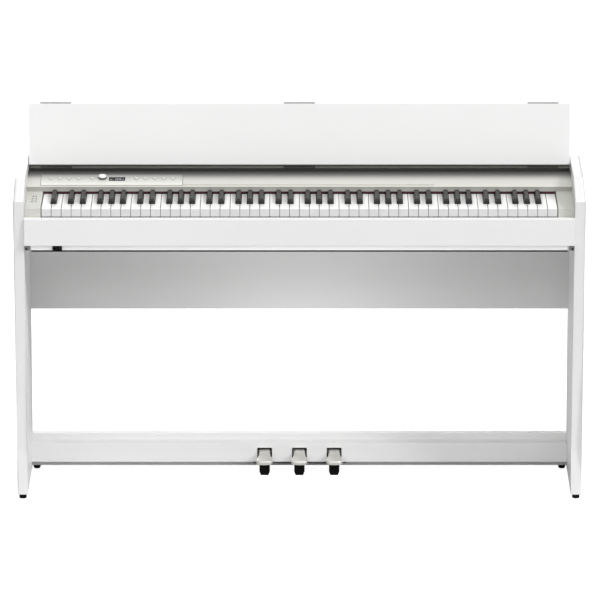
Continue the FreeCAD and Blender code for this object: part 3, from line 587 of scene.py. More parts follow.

# Darker copies of the key plastic for sides, undersides and fronts: painted shade in the gaps
# between keys, under them and on their front faces.
key_wall_painted_shade = finish("key_wall_painted_shade", (0.09, 0.09, 0.088), (0.07, 0.07, 0.068), 0.45, 0.05, 700.0,
                  0.000006, patch=30.0)
key_front_painted_shade = finish("key_front", (0.66, 0.66, 0.66), (0.63, 0.63, 0.63), 0.25, 0.04, 500.0,
                           0.000006, patch=30.0)
white_plastic = finish("white_key_plastic", (0.87, 0.87, 0.862), (0.855, 0.855, 0.845), 0.2,
                       0.04, 500.0, 0.000006, patch=30.0, Coat_Weight=0.25,
                       Coat_Roughness=0.08, Subsurface_Weight=0.03,
                       Subsurface_Radius=(0.004, 0.004, 0.003))


def octave_left(octave):
    """Where an octave starts, counted from the one with the lowest A in it."""
    return keyboard_left + (7 * octave - 5) * key_pitch


def lay_keys(note, step, sample, end_sample, plastic, slot):
    """All the keys of one note name along the keyboard, as one piece on their body."""
    first, count, end = (0 if step > 8 else 1), (8 if step > 8 else 7), 0
    if end_sample:
        first, count, end = 1, 7, (8 if note == "c" else 0)
    values = {"Key": sample, "First left": octave_left(first), "Octave": octave_width,
              "Count": count, "End left": octave_left(end), "Plastic": plastic}
    if end_sample:
        values["End key"] = end_sample
    mesh = grown(f"{note}_key_row", row_tree, values)
    if plastic is white_plastic:
        mesh.materials.clear()
        for paint in (white_plastic, key_wall_painted_shade, key_front_painted_shade):
            mesh.materials.append(paint)
        # Sides and undersides take the painted gap shade; front faces take the painted front shade.
        for face in mesh.polygons:
            face.material_index = 0
            if abs(face.normal.x) > 0.95 or face.normal.z < -0.9:
                face.material_index = 1
            elif face.normal.y < -0.9:
                face.material_index = 2
    place_piece(f"{note}_key_row", mesh, f"key_{note}", slot, f"keys_{note}")
    for used in filter(None, (sample, end_sample)):
        bpy.data.objects.remove(used)


half_slot = black_slot / 2
white_notes = {"c": (0, 0, None, 1), "d": (2, 1, 1, 3), "e": (4, 2, 3, None),
               "f": (5, 3, None, 6), "g": (7, 4, 6, 8), "a": (9, 5, 8, 10),
               "b": (11, 6, 10, None)}
for note, (step, order, left_black, right_black) in white_notes.items():
    left_cut = None if left_black is None else black_centre(left_black) + half_slot
    right_cut = None if right_black is None else black_centre(right_black) - half_slot
    regular = white_key(f"{note}_sample", order, left_cut, right_cut)
    whole = None
    if note == "a":
        whole = white_key("lowest_a_sample", order, None, right_cut)
    if note == "c":
        whole = white_key("highest_c_sample", order, None, None)
    lay_keys(note, step, regular, whole, white_plastic, "white_key_plastic")

# ------------------------------------------------------------
# Black keys: thirty-six narrow keys with sloping sides, a raked front and rounded ridges.
# Matt charcoal plastic with a fine grain; the tails run back under the fascia.
# ------------------------------------------------------------
black_front, black_rake, ridge_rear = -0.1055, 0.0045, -0.009
black_shoulder, black_top_z, ridge_half = 0.733, 0.743, 0.0048
black_rounding = 0.0013
black_plastic = finish("black_key_plastic", (0.014, 0.014, 0.014), (0.010, 0.010, 0.010), 0.38,
                       0.06, 1500.0, 0.00002, stretch=(3, 1, 3), patch=40.0,
                       Specular_IOR_Level=0.35)
black_faces = [(0, 1, 2, 3), (3, 2, 5, 4), (4, 5, 9, 10), (3, 4, 10, 11), (2, 8, 9, 5),
               (6, 7, 8, 9, 10, 11), (6, 15, 14, 7), (12, 15, 6, 11, 3, 0),
               (1, 2, 8, 7, 14, 13), (12, 13, 14, 15), (0, 1, 13, 12)]


def black_key(name, centre):
    """One black key in its octave's own frame: front, brow, heel and tail, then its faces."""
    base = black_base / 2
    sections = (
        (black_front, [(-base, key_bottom), (base, key_bottom), (base, black_shoulder),
                       (-base, black_shoulder)]),
        (black_front + black_rake, [(-ridge_half, black_top_z), (ridge_half, black_top_z)]),
        (ridge_rear, [(-base, key_top), (base, key_top), (base, black_shoulder),
                      (ridge_half, black_top_z), (-ridge_half, black_top_z),
                      (-base, black_shoulder)]),
        (key_rear, [(-base, key_bottom), (base, key_bottom), (base, key_top),
                    (-base, key_top)]))
    form = bmesh.new()
    spots = [form.verts.new((centre + x, y, z)) for y, pairs in sections for x, z in pairs]
    for face in black_faces:
        form.faces.new([spots[i] for i in face])
    face_out(form)
    return ease(in_scene(name, to_mesh(name, form)), black_rounding, 3, 30.0)


for note, step in {"c_sharp": 1, "d_sharp": 3, "f_sharp": 6, "g_sharp": 8,
                   "a_sharp": 10}.items():
    lay_keys(note, step, black_key(f"{note}_sample", black_centre(step)), None, black_plastic,
             "black_key_plastic")

# ------------------------------------------------------------
# Key felt: a strip of dark red wool felt glued under the fascia lip, just clear of the
# keys. A soft-edged strip with a slightly uneven, fibrous face; a black strip behind it is painted
# shade in the gap over the keys.
# ------------------------------------------------------------
felt_low, felt_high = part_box("key_felt")
felt_steps = 260
red_felt = finish("red_felt", (0.055, 0.002, 0.006), (0.034, 0.0012, 0.004), 0.92, 0.04, 2600.0,
                  0.0004, stretch=(1, 3, 3), patch=900.0, Sheen_Weight=0.25, Sheen_Roughness=0.5)
felt_middle = (felt_low + felt_high) / 2
felt_size = felt_high - felt_low
felt_section = ((-1, -0.7), (-0.7, -1), (0.7, -1), (1, -0.7), (1, 1), (-1, 1))
form = bmesh.new()
rings = []
for step in range(felt_steps + 1):
    x = felt_low.x + felt_size.x * step / felt_steps
    sway = 0.00012 * math.sin(37.0 * x) + 0.00008 * math.sin(91.0 * x + 1.3)
    rings.append([form.verts.new((x, felt_middle.y + side * 0.46 * felt_size.y,
                                  felt_middle.z + height * 0.48 * felt_size.z
                                  + (sway if height < 0 else 0.0)))
                  for side, height in felt_section])
skin(form, rings)
fitted("felt_strip", form, "red_felt", red_felt, node="key_felt")

# A black strip behind the felt: painted shade for the dark gap between the felt and the keys.
backing_gap, backing_gauge, backing_lift = 0.0002, 0.0012, 0.0009
form = bmesh.new()
block(form, felt_low.x, felt_high.x, felt_high.y + backing_gap,
      felt_high.y + backing_gap + backing_gauge, key_top + backing_lift, felt_high.z)
face_out(form)
ease(fitted("felt_backing", form, "black_plastic", black_moulding), 0.0002, 1)

# ------------------------------------------------------------
# Cheek blocks: cream mouldings that close the case beside the first and last keys. A
# generic headphones mark is printed three times on the left one, above the sockets.
# ------------------------------------------------------------
cream_moulding = finish("cream_moulding", (0.60, 0.60, 0.557), (0.58, 0.58, 0.537), 0.42, 0.04,
                        1300.0, 0.00002, patch=9.0)
eased_copy("cheek_blocks", 0.0014, cream_moulding, "cream_moulding", 3)
grey_print = finish("grey_print", (0.035, 0.035, 0.034), (0.028, 0.028, 0.027), 0.6, 0.05, 900.0,
                    0.000004)
mark_lift = 0.00006


def flat_ink_ring(form, x, y, inner, outer, start, sweep, count=16):
    """A flat arc or ring of ink, added to a form in its own flat frame; it serves print and the
    painted shade rings round the buttons.
    """
    rows = []
    for step in range(count + 1):
        a = math.radians(start + sweep * step / count)
        rows.append([form.verts.new((x + r * math.cos(a), y + r * math.sin(a), 0))
                     for r in (inner, outer)])
    if abs(sweep) >= 360:
        for vert in rows[-1]:
            form.verts.remove(vert)
        rows[-1] = rows[0]
    for one, two in zip(rows, rows[1:]):
        form.faces.new((one[0], one[1], two[1], two[0]))


def printed_bar(form, x, y, width, depth):
    """A small flat printed bar."""
    form.faces.new([form.verts.new((x + right * width / 2, y + up * depth / 2, 0))
                    for right, up in ((-1, -1), (1, -1), (1, 1), (-1, 1))])


def thicken_print(form, thickness=0.00005):
    """Gives flat printing a skin's thickness, so that it is a closed shape."""
    push_faces(form, list(form.faces), (0, 0, thickness))
    face_out(form)


mark_x, mark_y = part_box("cheek_blocks")[0].x + 0.0215, -0.0720
cheek_front_z, cheek_rise, cheek_run = 0.732, 0.006, 0.145
band_width, cup_width, cup_depth, cup_drop = 0.0018, 0.0026, 0.0066, 0.0026
form = bmesh.new()
for row, spread in ((0.0, 0.0060), (0.022, 0.0050), (-0.022, 0.0058)):
    flat_ink_ring(form, 0, row, spread - band_width, spread, 20, 140, 10)
    for side in (-1, 1):
        printed_bar(form, side * (spread - band_width / 2), row - cup_drop, cup_width, cup_depth)
thicken_print(form)
mark_z = cheek_front_z + cheek_rise * (mark_y - key_front) / cheek_run + mark_lift
form.transform(Matrix.Translation((mark_x, mark_y, mark_z))
               @ Matrix.Rotation(math.atan2(cheek_rise, cheek_run), 4, "X"))
fitted("headphone_marks", form, "cream_moulding", grey_print)

# ------------------------------------------------------------
# Fascia: the long cream panel behind the keys, formed with a short lip down to the felt.
# Its rear edge runs back under the lid with painted shade on it, against a dark strip whose tones
# are painted shade.
# ------------------------------------------------------------
fascia_front_y, fascia_front_z, fascia_tilt = -0.0075, 0.750, math.radians(9.9404)
# Colour steps by depth: a painted highlight on the front edge, then painted shade darkening towards
# the lid at the back.
fascia_painted_shade = ((-0.0078, 1.0), (-0.0055, 1.0), (-0.0030, 0.72), (0.0160, 0.70), (0.0277, 0.66),
                 (0.0336, 0.61), (0.0394, 0.535), (0.0453, 0.44), (0.0511, 0.31), (0.0570, 0.198),
                 (0.0629, 0.113), (0.0687, 0.055), (0.0746, 0.030), (0.0804, 0.017),
                 (0.0893, 0.003))
warmth = 0.985


def paint_shade_back(paint, shades):
    """Darkens a finish by steps from front to back: painted shade, standing in for the shade under
    the lid.
    """
    tree = paint.node_tree
    where, tint = [next(n for n in tree.nodes if n.type == kind).outputs
                   for kind in ("TEX_COORD", "VALTORGB")]
    front, back = shades[0][0], shades[-1][0]
    y = add(tree, "ShaderNodeSeparateXYZ", {"Vector": where["Object"]})["Y"]
    depth = add(tree, "ShaderNodeMapRange", {"Value": y, "From Min": front, "From Max": back})
    shade = ramp(tree, depth["Result"], [((y - front) / (back - front),
                                          (grey, grey, grey * warmth)) for y, grey in shades])
    darker = add(tree, "ShaderNodeMix", {"Factor": 1.0, "A": tint["Color"], "B": shade},
                 data_type="RGBA", blend_type="MULTIPLY")
    tree.links.new(darker["Result"], tree.nodes["Principled BSDF"].inputs["Base Color"])


fascia_paint = finish("fascia_cream", (0.85, 0.85, 0.792), (0.83, 0.83, 0.773), 0.36, 0.04,
                      1500.0, 0.00001, patch=5.0)
paint_shade_back(fascia_paint, fascia_painted_shade)
# The lip's front faces get a darker copy of the fascia cream: painted shade on faces turned from
# the light.
lip_painted_shade = finish("fascia_lip_painted_shade", (0.40, 0.40, 0.37), (0.38, 0.38, 0.35), 0.45, 0.04, 1500.0,
                   0.00001, patch=5.0)
form = joined_up("fascia")
for face in form.faces:
    face.material_index = 1 if face.normal.y < -0.9 and face.normal.z < 0.1 else 0
ease(fitted("fascia_form", form, "cream_moulding", fascia_paint, lip_painted_shade, node="fascia"),
     0.0012, 4)

# A dark strip on the rail under the lid stands in for the shade there: its near-black floor and
# grey wall are painted shade.
dust_strip = finish("dust_strip", (0.014, 0.0145, 0.013), (0.012, 0.0125, 0.011), 0.95, 0.03,
                    2400.0, 0.0003, patch=700.0)
painted_shade_wall = finish("painted_shade_wall", (0.46, 0.46, 0.43), (0.42, 0.42, 0.39), 0.95, 0.03, 2400.0,
                   0.0003, patch=700.0)
rail_z, rail_front, rail_back, strip_top, strip_gauge = 0.766, 0.0900, 0.1135, 0.7795, 0.0006
strip_section = [(rail_front, rail_z), (rail_back, rail_z), (rail_back, strip_top),
                 (rail_back - strip_gauge, strip_top),
                 (rail_back - strip_gauge, rail_z + strip_gauge),
                 (rail_front, rail_z + strip_gauge)]
form = bmesh.new()
skin(form, [[form.verts.new((end.x, y, z)) for y, z in strip_section]
            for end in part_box("lid_panel")])
for face in form.faces:
    upright = face.normal.y < -0.9 and face.calc_center_median().z > rail_z + 0.004
    face.material_index = 1 if upright else 0
fitted("dust_strip", form, "black_rubber", dust_strip, painted_shade_wall)

# ------------------------------------------------------------
# Control plate: a thin lighter plate let on to the fascia, darkened towards the back with painted
# shade, with a painted shade ring round each button and a printed lamp dot and short bar. The words
# of the real one are left out.
# ------------------------------------------------------------
to_fascia = (Matrix.Translation((0, fascia_front_y, fascia_front_z))
             @ Matrix.Rotation(fascia_tilt, 4, "X"))
plate_paint = finish("plate_cream", (0.77, 0.77, 0.73), (0.75, 0.75, 0.71), 0.30, 0.03, 1800.0,
                     0.000006, patch=8.0)
# The plate is darkened towards the back: painted shade under the lid.
paint_shade_back(plate_paint, ((0.0, 1.0), (0.0042, 0.98), (0.0101, 0.90), (0.0160, 0.85),
                         (0.0277, 0.75), (0.0394, 0.59), (0.0453, 0.50), (0.0511, 0.41),
                         (0.0570, 0.25), (0.0629, 0.15), (0.0700, 0.09)))
eased_copy("control_plate", 0.0003, plate_paint, "cream_metal", 2)
gasket_paint = finish("plate_gasket", (0.05, 0.05, 0.047), (0.04, 0.04, 0.038), 0.7, 0.05,
                      900.0, 0.00001)
plate_left, plate_right, plate_front, plate_rear = -0.621, -0.281, 0.007, 0.070
gasket_gap, gasket_width, gasket_gauge = 0.00002, 0.0009, 0.0004
form = bmesh.new()
skin(form, [[form.verts.new((x, y, 0)) for x, y in
             ((plate_left - grow, plate_front - grow), (plate_right + grow, plate_front - grow),
              (plate_right + grow, plate_rear + grow), (plate_left - grow, plate_rear + grow))]
            for grow in (gasket_gap, gasket_width)], capped=False)
thicken_print(form, gasket_gauge)
form.transform(to_fascia @ Matrix.Translation((0, 0, gasket_gap)))
fitted("plate_gasket", form, "black_rubber", gasket_paint)

plate_top, control_row, button_pitch = 0.0012, 0.046, 0.022
button_xs = [-0.5975, -0.5755, -0.5535, -0.5315, -0.498]
button_xs += [-0.392 + button_pitch * step for step in range(5)]
form = bmesh.new()
# A dark ring round each button: painted shade for the gap round the cap; the dot and bar are print.
flat_ink_ring(form, 0, 0, 0.0049, 0.0054, 0, 360, 28)
flat_ink_ring(form, 0, 0.0098, 0.0, 0.0009, 0, 360, 8)
bmesh.ops.remove_doubles(form, verts=form.verts, dist=1e-6)
printed_bar(form, 0, -0.0105, 0.0075, 0.0008)
thicken_print(form)
mark_sample = in_scene("button_mark", to_mesh("button_mark", form))

marks_tree, given = new_tree("ink_and_shade_row", ("Mark", "Object"), ("First x", "Float"),
                             ("Pitch", "Float"), ("Count", "Int"), ("Row", "Float"),
                             ("Lift", "Float"), ("Ink", "Material"))
marks_start = at(marks_tree, X=given["First x"], Y=given["Row"], Z=given["Lift"])
marks_line = line_of_points(marks_tree, given["Count"], marks_start,
                            at(marks_tree, X=given["Pitch"]))
close_tree(marks_tree, copies_on(marks_tree, marks_line, shape_of(marks_tree, given["Mark"])),
           given["Ink"])
button_print_and_shade = finish("button_print_and_shade", (0.16, 0.16, 0.155), (0.13, 0.13, 0.125), 0.6, 0.05, 900.0,
                      0.000004)
for name, first, count in (("left_button_marks", 0, 4), ("function_button_mark", 4, 1),
                           ("right_button_marks", 5, 5)):
    mesh = grown(name, marks_tree,
                 {"Mark": mark_sample, "First x": button_xs[first], "Pitch": button_pitch,
                  "Count": count, "Row": control_row, "Lift": plate_top + mark_lift,
                  "Ink": button_print_and_shade})
    mesh.transform(to_fascia)
    place_piece(name, mesh, "cabinet", "cream_metal")
bpy.data.objects.remove(mark_sample)

# ------------------------------------------------------------
# Buttons and volume dial: turned shapes in moulded plastic. The buttons are small dished
# caps; the dial is a white cap over a dark ribbed skirt.
# ------------------------------------------------------------


def lathe(profile, count, centre=(0, 0, 0)):
    """A turned form from (radius, height) pairs; a radius of nought closes an end."""
    form = bmesh.new()
    rows = []
    for radius, height in profile:
        if radius < 1e-7:
            rows.append([form.verts.new((0, 0, height))])
            continue
        rows.append([form.verts.new((radius * math.cos(2 * math.pi * i / count),
                                     radius * math.sin(2 * math.pi * i / count), height))
                     for i in range(count)])
    for low, high in zip(rows, rows[1:]):
        for i in range(count):
            if len(low) == 1:
                form.faces.new((low[0], high[i], high[i - 1]))
            elif len(high) == 1:
                form.faces.new((low[i - 1], low[i], high[0]))
            else:
                form.faces.new((low[i - 1], low[i], high[i], high[i - 1]))
    face_out(form)
    form.transform(Matrix.Translation(centre))
    return form


def on_fascia(x, lift):
    """The place on the control row at this x and height above the fascia."""
    return to_fascia @ Matrix.Translation((x, control_row, lift))


button_plastic = finish("button_plastic", (0.60, 0.60, 0.575), (0.57, 0.57, 0.545), 0.34, 0.03,
                        1400.0, 0.000008, patch=60.0)
button_top, button_low, button_radius = 0.0028, -0.0086, 0.0045
button_profile = [(0.0, button_low), (button_radius, button_low),
                  (button_radius, button_top - 0.0006), (0.00432, button_top - 0.00018),
                  (0.0039, button_top), (0.0034, button_top - 0.0001),
                  (0.0020, button_top - 0.0004), (0.0, button_top - 0.0005)]
button_names = ["power_button", "volume_down_button", "volume_up_button", "brilliance_button",
                "function_button", "piano_tone_button", "other_tone_button", "song_button",
                "metronome_button", "split_button"]
for button, x in zip(button_names, button_xs):
    form = lathe(button_profile, 32, (x, control_row, 0))
    form.transform(to_fascia)
    fitted(button + "_turned", form, "button_plastic", button_plastic, node=button,
           body=button + "_cap")

form = bmesh.new()
flat_ink_ring(form, 0, 0, 0.0013, 0.0017, 120, 300, 14)
printed_bar(form, 0, 0.0014, 0.0005, 0.0016)
thicken_print(form)
form.transform(on_fascia(button_xs[0], button_top - 0.00028))
fitted("power_mark", form, "button_plastic", button_print_and_shade, body="power_button_cap")

dial_x, dial_low, dial_radius, dial_foot, shaft_radius = -0.4735, 0.0015, 0.0095, -0.0094, 0.003
dial_top = dial_low + 0.0079
skirt_paint = finish("dial_skirt", (0.10, 0.10, 0.098), (0.07, 0.07, 0.068), 0.35, 0.05, 1500.0,
                     0.00001)
cap_paint = finish("dial_cap", (0.86, 0.86, 0.85), (0.83, 0.83, 0.82), 0.25, 0.03, 1200.0,
                   0.000005, patch=50.0)
skirt = [(0.0, dial_foot), (shaft_radius, dial_foot), (shaft_radius, dial_low),
         (dial_radius, dial_low), (dial_radius, dial_low + 0.0036),
         (dial_radius - 0.0005, dial_low + 0.0042), (0.0, dial_low + 0.0042)]
skirt_sample = in_scene("skirt_sample", to_mesh("skirt_sample", lathe(skirt, 48)))

rib_tree, given = new_tree("ribbed_skirt", ("Skirt", "Object"), ("Radius", "Float"),
                           ("Ribs", "Int"), ("Rib radius", "Float"), ("Rib height", "Float"),
                           ("Rib middle", "Float"), ("Plastic", "Material"))
rib_circle = add(rib_tree, "GeometryNodeMeshCircle",
                 {"Vertices": given["Ribs"], "Radius": given["Radius"]})[0]
rib_up = add(rib_tree, "GeometryNodeTransform",
             {"Geometry": rib_circle, "Translation": at(rib_tree, Z=given["Rib middle"])})[0]
rib_bar = add(rib_tree, "GeometryNodeMeshCylinder",
              {"Vertices": 6, "Radius": given["Rib radius"], "Depth": given["Rib height"]})
rib_set = copies_on(rib_tree, rib_up, rib_bar["Mesh"])
close_tree(rib_tree, joined(rib_tree, shape_of(rib_tree, given["Skirt"]), rib_set),
           given["Plastic"])
mesh = grown("dial_skirt", rib_tree,
             {"Skirt": skirt_sample, "Radius": dial_radius, "Ribs": 40, "Rib radius": 0.0004,
              "Rib height": 0.003, "Rib middle": dial_low + 0.0018, "Plastic": skirt_paint})
mesh.transform(on_fascia(dial_x, 0))
place_piece("dial_skirt", mesh, "dial", "button_plastic", "volume_dial")
bpy.data.objects.remove(skirt_sample)

cap_profile = [(0.0, dial_low + 0.0043), (0.0092, dial_low + 0.0043),
               (0.0094, dial_low + 0.0047), (0.0091, dial_top - 0.0008),
               (0.0088, dial_top - 0.0002), (0.0083, dial_top), (0.0045, dial_top - 0.0003),
               (0.0, dial_top - 0.0004)]
form = lathe(cap_profile, 64)
form.transform(on_fascia(dial_x, 0))
fitted("dial_cap", form, "button_plastic", cap_paint, body="dial")
form = bmesh.new()
printed_bar(form, 0, 0.0066, 0.0006, 0.0026)
thicken_print(form)
form.transform(on_fascia(dial_x, dial_top - 0.00008))
fitted("dial_pointer", form, "button_plastic", button_print_and_shade, body="dial")

# ------------------------------------------------------------
# Display: a black glass window in the control plate, with lit number segments behind it.
# The figures are plain generic digits; nothing else is written.
# ------------------------------------------------------------
display_glass = finish("display_glass", (0.004, 0.004, 0.005), (0.003, 0.003, 0.004), 0.12,
                       0.02, 60.0, 0.000002, Specular_IOR_Level=0.12)
eased_copy("display_window", 0.0004, display_glass, "display_glass", 2)
lit_segments = finish("lit_segments", (0.75, 0.78, 0.80), (0.70, 0.73, 0.76), 0.5, 0.03, 800.0,
                      0.000002, Emission_Color=(0.85, 0.92, 1.0, 1), Emission_Strength=0.35)
segment_on = {"1": "bc", "2": "abged", "0": "abcdef"}
segment_place = {"a": (0, 1, 0), "b": (0.5, 0.5, 1), "c": (0.5, -0.5, 1), "d": (0, -1, 0),
                 "e": (-0.5, -0.5, 1), "f": (-0.5, 0.5, 1), "g": (0, 0, 0)}
digit_height, digit_width, digit_pitch, stroke = 0.0068, 0.0040, 0.0062, 0.0008
display_x, display_y, display_top = -0.4385, 0.043, 0.0014
form = bmesh.new()
for place, figure in enumerate("120"):
    middle = display_x - 0.0052 + digit_pitch * place
    for part in segment_on[figure]:
        right, up, upright = segment_place[part]
        size = (stroke, digit_height / 2 - stroke) if upright else (digit_width - stroke, stroke)
        printed_bar(form, middle + right * digit_width, display_y - 0.002 + up * digit_height / 2,
                    *size)
for right, drop, depth in ((-0.0155, 0.004, 0.0026), (-0.0125, 0.004, 0.0026),
                           (0.0135, 0.0035, 0.0018), (0.0160, 0.0035, 0.0018)):
    printed_bar(form, display_x + right, display_y - drop, 0.0014, depth)
thicken_print(form)
form.transform(to_fascia @ Matrix.Translation((0, 0, display_top + mark_lift)))
fitted("display_digits", form, "display_glass", lit_segments)

# ------------------------------------------------------------
# Control board under the plate: green laminate on moulded posts, out of sight in use.
# ------------------------------------------------------------
board_green = finish("board_green", (0.012, 0.075, 0.030), (0.010, 0.055, 0.024), 0.35, 0.05,
                     1500.0, 0.00002, patch=120.0, Coat_Weight=0.3)
eased_copy("circuit_board", 0.0002, board_green, "circuit", 1)

# ------------------------------------------------------------
# Score ledge: a thin pressed ridge with turned-up ends, bonded to the fascia in front of
# where the music stands.
# ------------------------------------------------------------
ledge_paint = finish("ledge_metal", (0.60, 0.60, 0.56), (0.56, 0.56, 0.52), 0.35, 0.04, 1500.0,
                     0.00001, stretch=(0.1, 1, 1), patch=40.0)
eased_copy("score_ledge", 0.0006, ledge_paint, "cream_metal", 2)

# ------------------------------------------------------------
# Folding lid: a rear panel and a front flap in the same lacquered board, joined by three
# hinges; the flap lies folded behind the panel. Rubber buffers sit under its lip.
# ------------------------------------------------------------
lid_edge = 0.0014
for leaf in ("lid_panel", "lid_flap"):
    eased_copy(leaf, lid_edge, white_lacquer, "white_lacquered_board", 3)
hinge_steel = finish("hinge_steel", (0.27, 0.27, 0.25), (0.22, 0.22, 0.205), 0.50, 0.06,
                     1500.0, 0.00001, stretch=(0.05, 1, 1), patch=120.0, Metallic=0.25)
for leaves in ("lid_hinge_leaves", "fixed_hinge_leaves", "flap_hinge_leaves"):
    eased_copy(leaves, 0.0002, hinge_steel, "grey_steel", 1)
buffer_rubber = finish("buffer_rubber", (0.006, 0.006, 0.006), (0.003, 0.003, 0.003), 0.75,
                       0.05, 1600.0, 0.00004, Specular_IOR_Level=0.15)
eased_copy("lid_bumpers", 0.0008, buffer_rubber, "black_rubber", 3)

# ------------------------------------------------------------
# Panel screws: long flat-headed screws through the sides into the boards' ends, each
# with a cross recess, sunk in its counterbore.
# ------------------------------------------------------------
screw_steel = finish("screw_steel", (0.62, 0.62, 0.60), (0.54, 0.54, 0.52), 0.32, 0.06, 2600.0,
                     0.00001, patch=300.0, Metallic=1.0)
head_radius, head_low, head_out, shank_radius, shank_end = 0.0069, -0.0027, 0.6797, 0.003, -0.0549
form = lathe([(0.0, shank_end), (shank_radius, shank_end), (shank_radius, head_low),
              (head_radius, head_low), (head_radius, -0.0005), (head_radius - 0.0004, 0.0),
              (0.0, 0.0)], 24)
crown = max(form.verts, key=lambda v: v.co.z - v.co.xy.length)
bmesh.ops.delete(form, geom=[crown], context="VERTS")
rim = [v for v in form.verts if v.co.z > -0.0001]
rim.sort(key=lambda v: math.atan2(v.co.y, v.co.x))
slot_half, slot_reach, slot_depth, slot_taper = 0.0008, 0.0040, 0.0016, 0.8
cross = [(slot_reach, slot_half), (slot_half, slot_half), (slot_half, slot_reach)]
outline = []
for quarter in range(4):
    c, s = math.cos(quarter * math.pi / 2), math.sin(quarter * math.pi / 2)
    outline += [(x * c - y * s, x * s + y * c) for x, y in cross]
top_ring = [form.verts.new((x, y, 0.0)) for x, y in outline]
low_ring = [form.verts.new((x * slot_taper, y * slot_taper, -slot_depth)) for x, y in outline]
for i in range(12):
    form.faces.new((top_ring[i - 1], top_ring[i], low_ring[i], low_ring[i - 1]))
form.faces.new(low_ring)
edges = [form.edges.get((loop[i - 1], loop[i])) for loop in (rim, top_ring)
         for i in range(len(loop))]
bmesh.ops.bridge_loops(form, edges=[e for e in edges if e])
face_out(form)
screw_sample = in_scene("screw_sample", to_mesh("screw_sample", form))

place_mesh = bpy.data.meshes.new("screw_places")
place_mesh.from_pydata([(0, y, z) for y, z in screw_yz], [], [])
screw_places = in_scene("screw_places", place_mesh)

screw_tree, given = new_tree("side_screws", ("Screw", "Object"), ("Places", "Object"),
                             ("Half width", "Float"), ("Seed", "Int"), ("Steel", "Material"))
screw_shape = shape_of(screw_tree, given["Screw"])
screw_spots = shape_of(screw_tree, given["Places"])


def worked(tree, operation, one, two):
    """One sum on two numbers."""
    return add(tree, "ShaderNodeMath", {0: one, 1: two}, operation=operation)[0]


screw_twist = add(screw_tree, "FunctionNodeRandomValue", {"Seed": given["Seed"]})["Value"]
screw_spin = at(screw_tree, Z=worked(screw_tree, "MULTIPLY", screw_twist, math.pi))
both_sides = []
for side in (-1, 1):
    shift = at(screw_tree, X=worked(screw_tree, "MULTIPLY", given["Half width"], float(side)))
    spots = add(screw_tree, "GeometryNodeSetPosition",
                {"Geometry": screw_spots, "Offset": shift})[0]
    heads = copies_on(screw_tree, spots, screw_shape, Rotation=(0.0, side * math.pi / 2, 0.0))
    both_sides.append(add(screw_tree, "GeometryNodeRotateInstances",
                          {"Instances": heads, "Rotation": screw_spin})[0])
close_tree(screw_tree, joined(screw_tree, *both_sides), given["Steel"])
mesh = grown("side_screws", screw_tree,
             {"Screw": screw_sample, "Places": screw_places, "Half width": head_out,
              "Seed": 7, "Steel": screw_steel})
place_piece("side_screws", mesh, "cabinet", "grey_steel", "panel_screws")
bpy.data.objects.remove(screw_sample)
bpy.data.objects.remove(screw_places)

# ------------------------------------------------------------
# Pedal box: a folded white cover across the stand with three openings. Each opening has a
# black liner and the inside of the cover is black, both painted shade, so the levers come out of
# darkness.
# ------------------------------------------------------------
box_low, box_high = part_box("pedal_box")
box_wall, pedal_xs = 0.0029, (-0.085, 0.0, 0.085)
form = joined_up("pedal_box")
# Faces inside the cover take black: painted shade inside the box.
for face in form.faces:
    middle = face.calc_center_median()
    inside = (box_low.y + box_wall < middle.y < box_high.y - 0.0002
              and box_low.z + box_wall < middle.z < box_high.z - box_wall)
    face.material_index = 1 if inside or abs(face.normal.y - 1) < 0.01 else 0
ease(fitted("pedal_cover", form, "white_lacquered_board", white_lacquer, black_moulding,
            node="pedal_box"), 0.0012, 3)

# Black liners in the openings: painted shade where one looks into the box.
liner_half, liner_low, liner_high = 0.0178, 0.0400, 0.0640
liner_wall, liner_radius, liner_fit = 0.0012, 0.0045, 0.00005
liner_front, liner_back = box_low.y - 0.0004, box_low.y + 0.0140


def rounded_frame(half, low, high, radius, steps=5):
    """The (x, z) corners of an opening with rounded upper corners, from lower left round."""
    line = [(-half, low)]
    for side, start in ((-1, 180), (1, 90)):
        for step in range(steps + 1):
            a = math.radians(start - 90 * step / steps)
            line.append((side * (half - radius) + radius * math.cos(a),
                         high - radius + radius * math.sin(a)))
    return line + [(half, low)]


outer = rounded_frame(liner_half - liner_fit, liner_low + liner_fit, liner_high - liner_fit,
                      liner_radius)
inner = rounded_frame(liner_half - liner_wall, liner_low + liner_wall,
                      liner_high - liner_wall, liner_radius - liner_wall)
form = bmesh.new()
for x in pedal_xs:
    skin(form, [[form.verts.new((x + px, y, pz)) for px, pz in line]
                for line, y in ((outer, liner_front), (outer, liner_back),
                                (inner, liner_back), (inner, liner_front))], closed=True)
fitted("opening_liners", form, "black_plastic", black_moulding)

# ------------------------------------------------------------
# Pedals: cast levers plated in satin nickel, waisted at the cover and spreading to a
# rounded head with a full bullnose; each turns on a hub round the steel axle.
# ------------------------------------------------------------
pedal_nickel = finish("pedal_nickel", (0.80, 0.79, 0.745), (0.70, 0.69, 0.65), 0.36, 0.07,
                      420.0, 0.000015, stretch=(1, 0.12, 1), patch=60.0, Metallic=0.6)
root_half, head_half, arm_half = 0.0135, 0.01975, 0.0105
pedal_tip, pedal_waist, pedal_back = 0.0175, 0.0764, 0.1155
pedal_top, pedal_gauge = 0.060, 0.010
fall_from, fall_slope = 0.1125, 0.003 / 0.095
hub_y, hub_z, hub_radius, hub_bore, hub_sides = 0.1365, 0.050, 0.008, 0.00405, 32
tip_corner, waist_lead, waist_run = 0.012, 0.008, 0.052
bull_top, bull_under = 0.0034, 0.0022


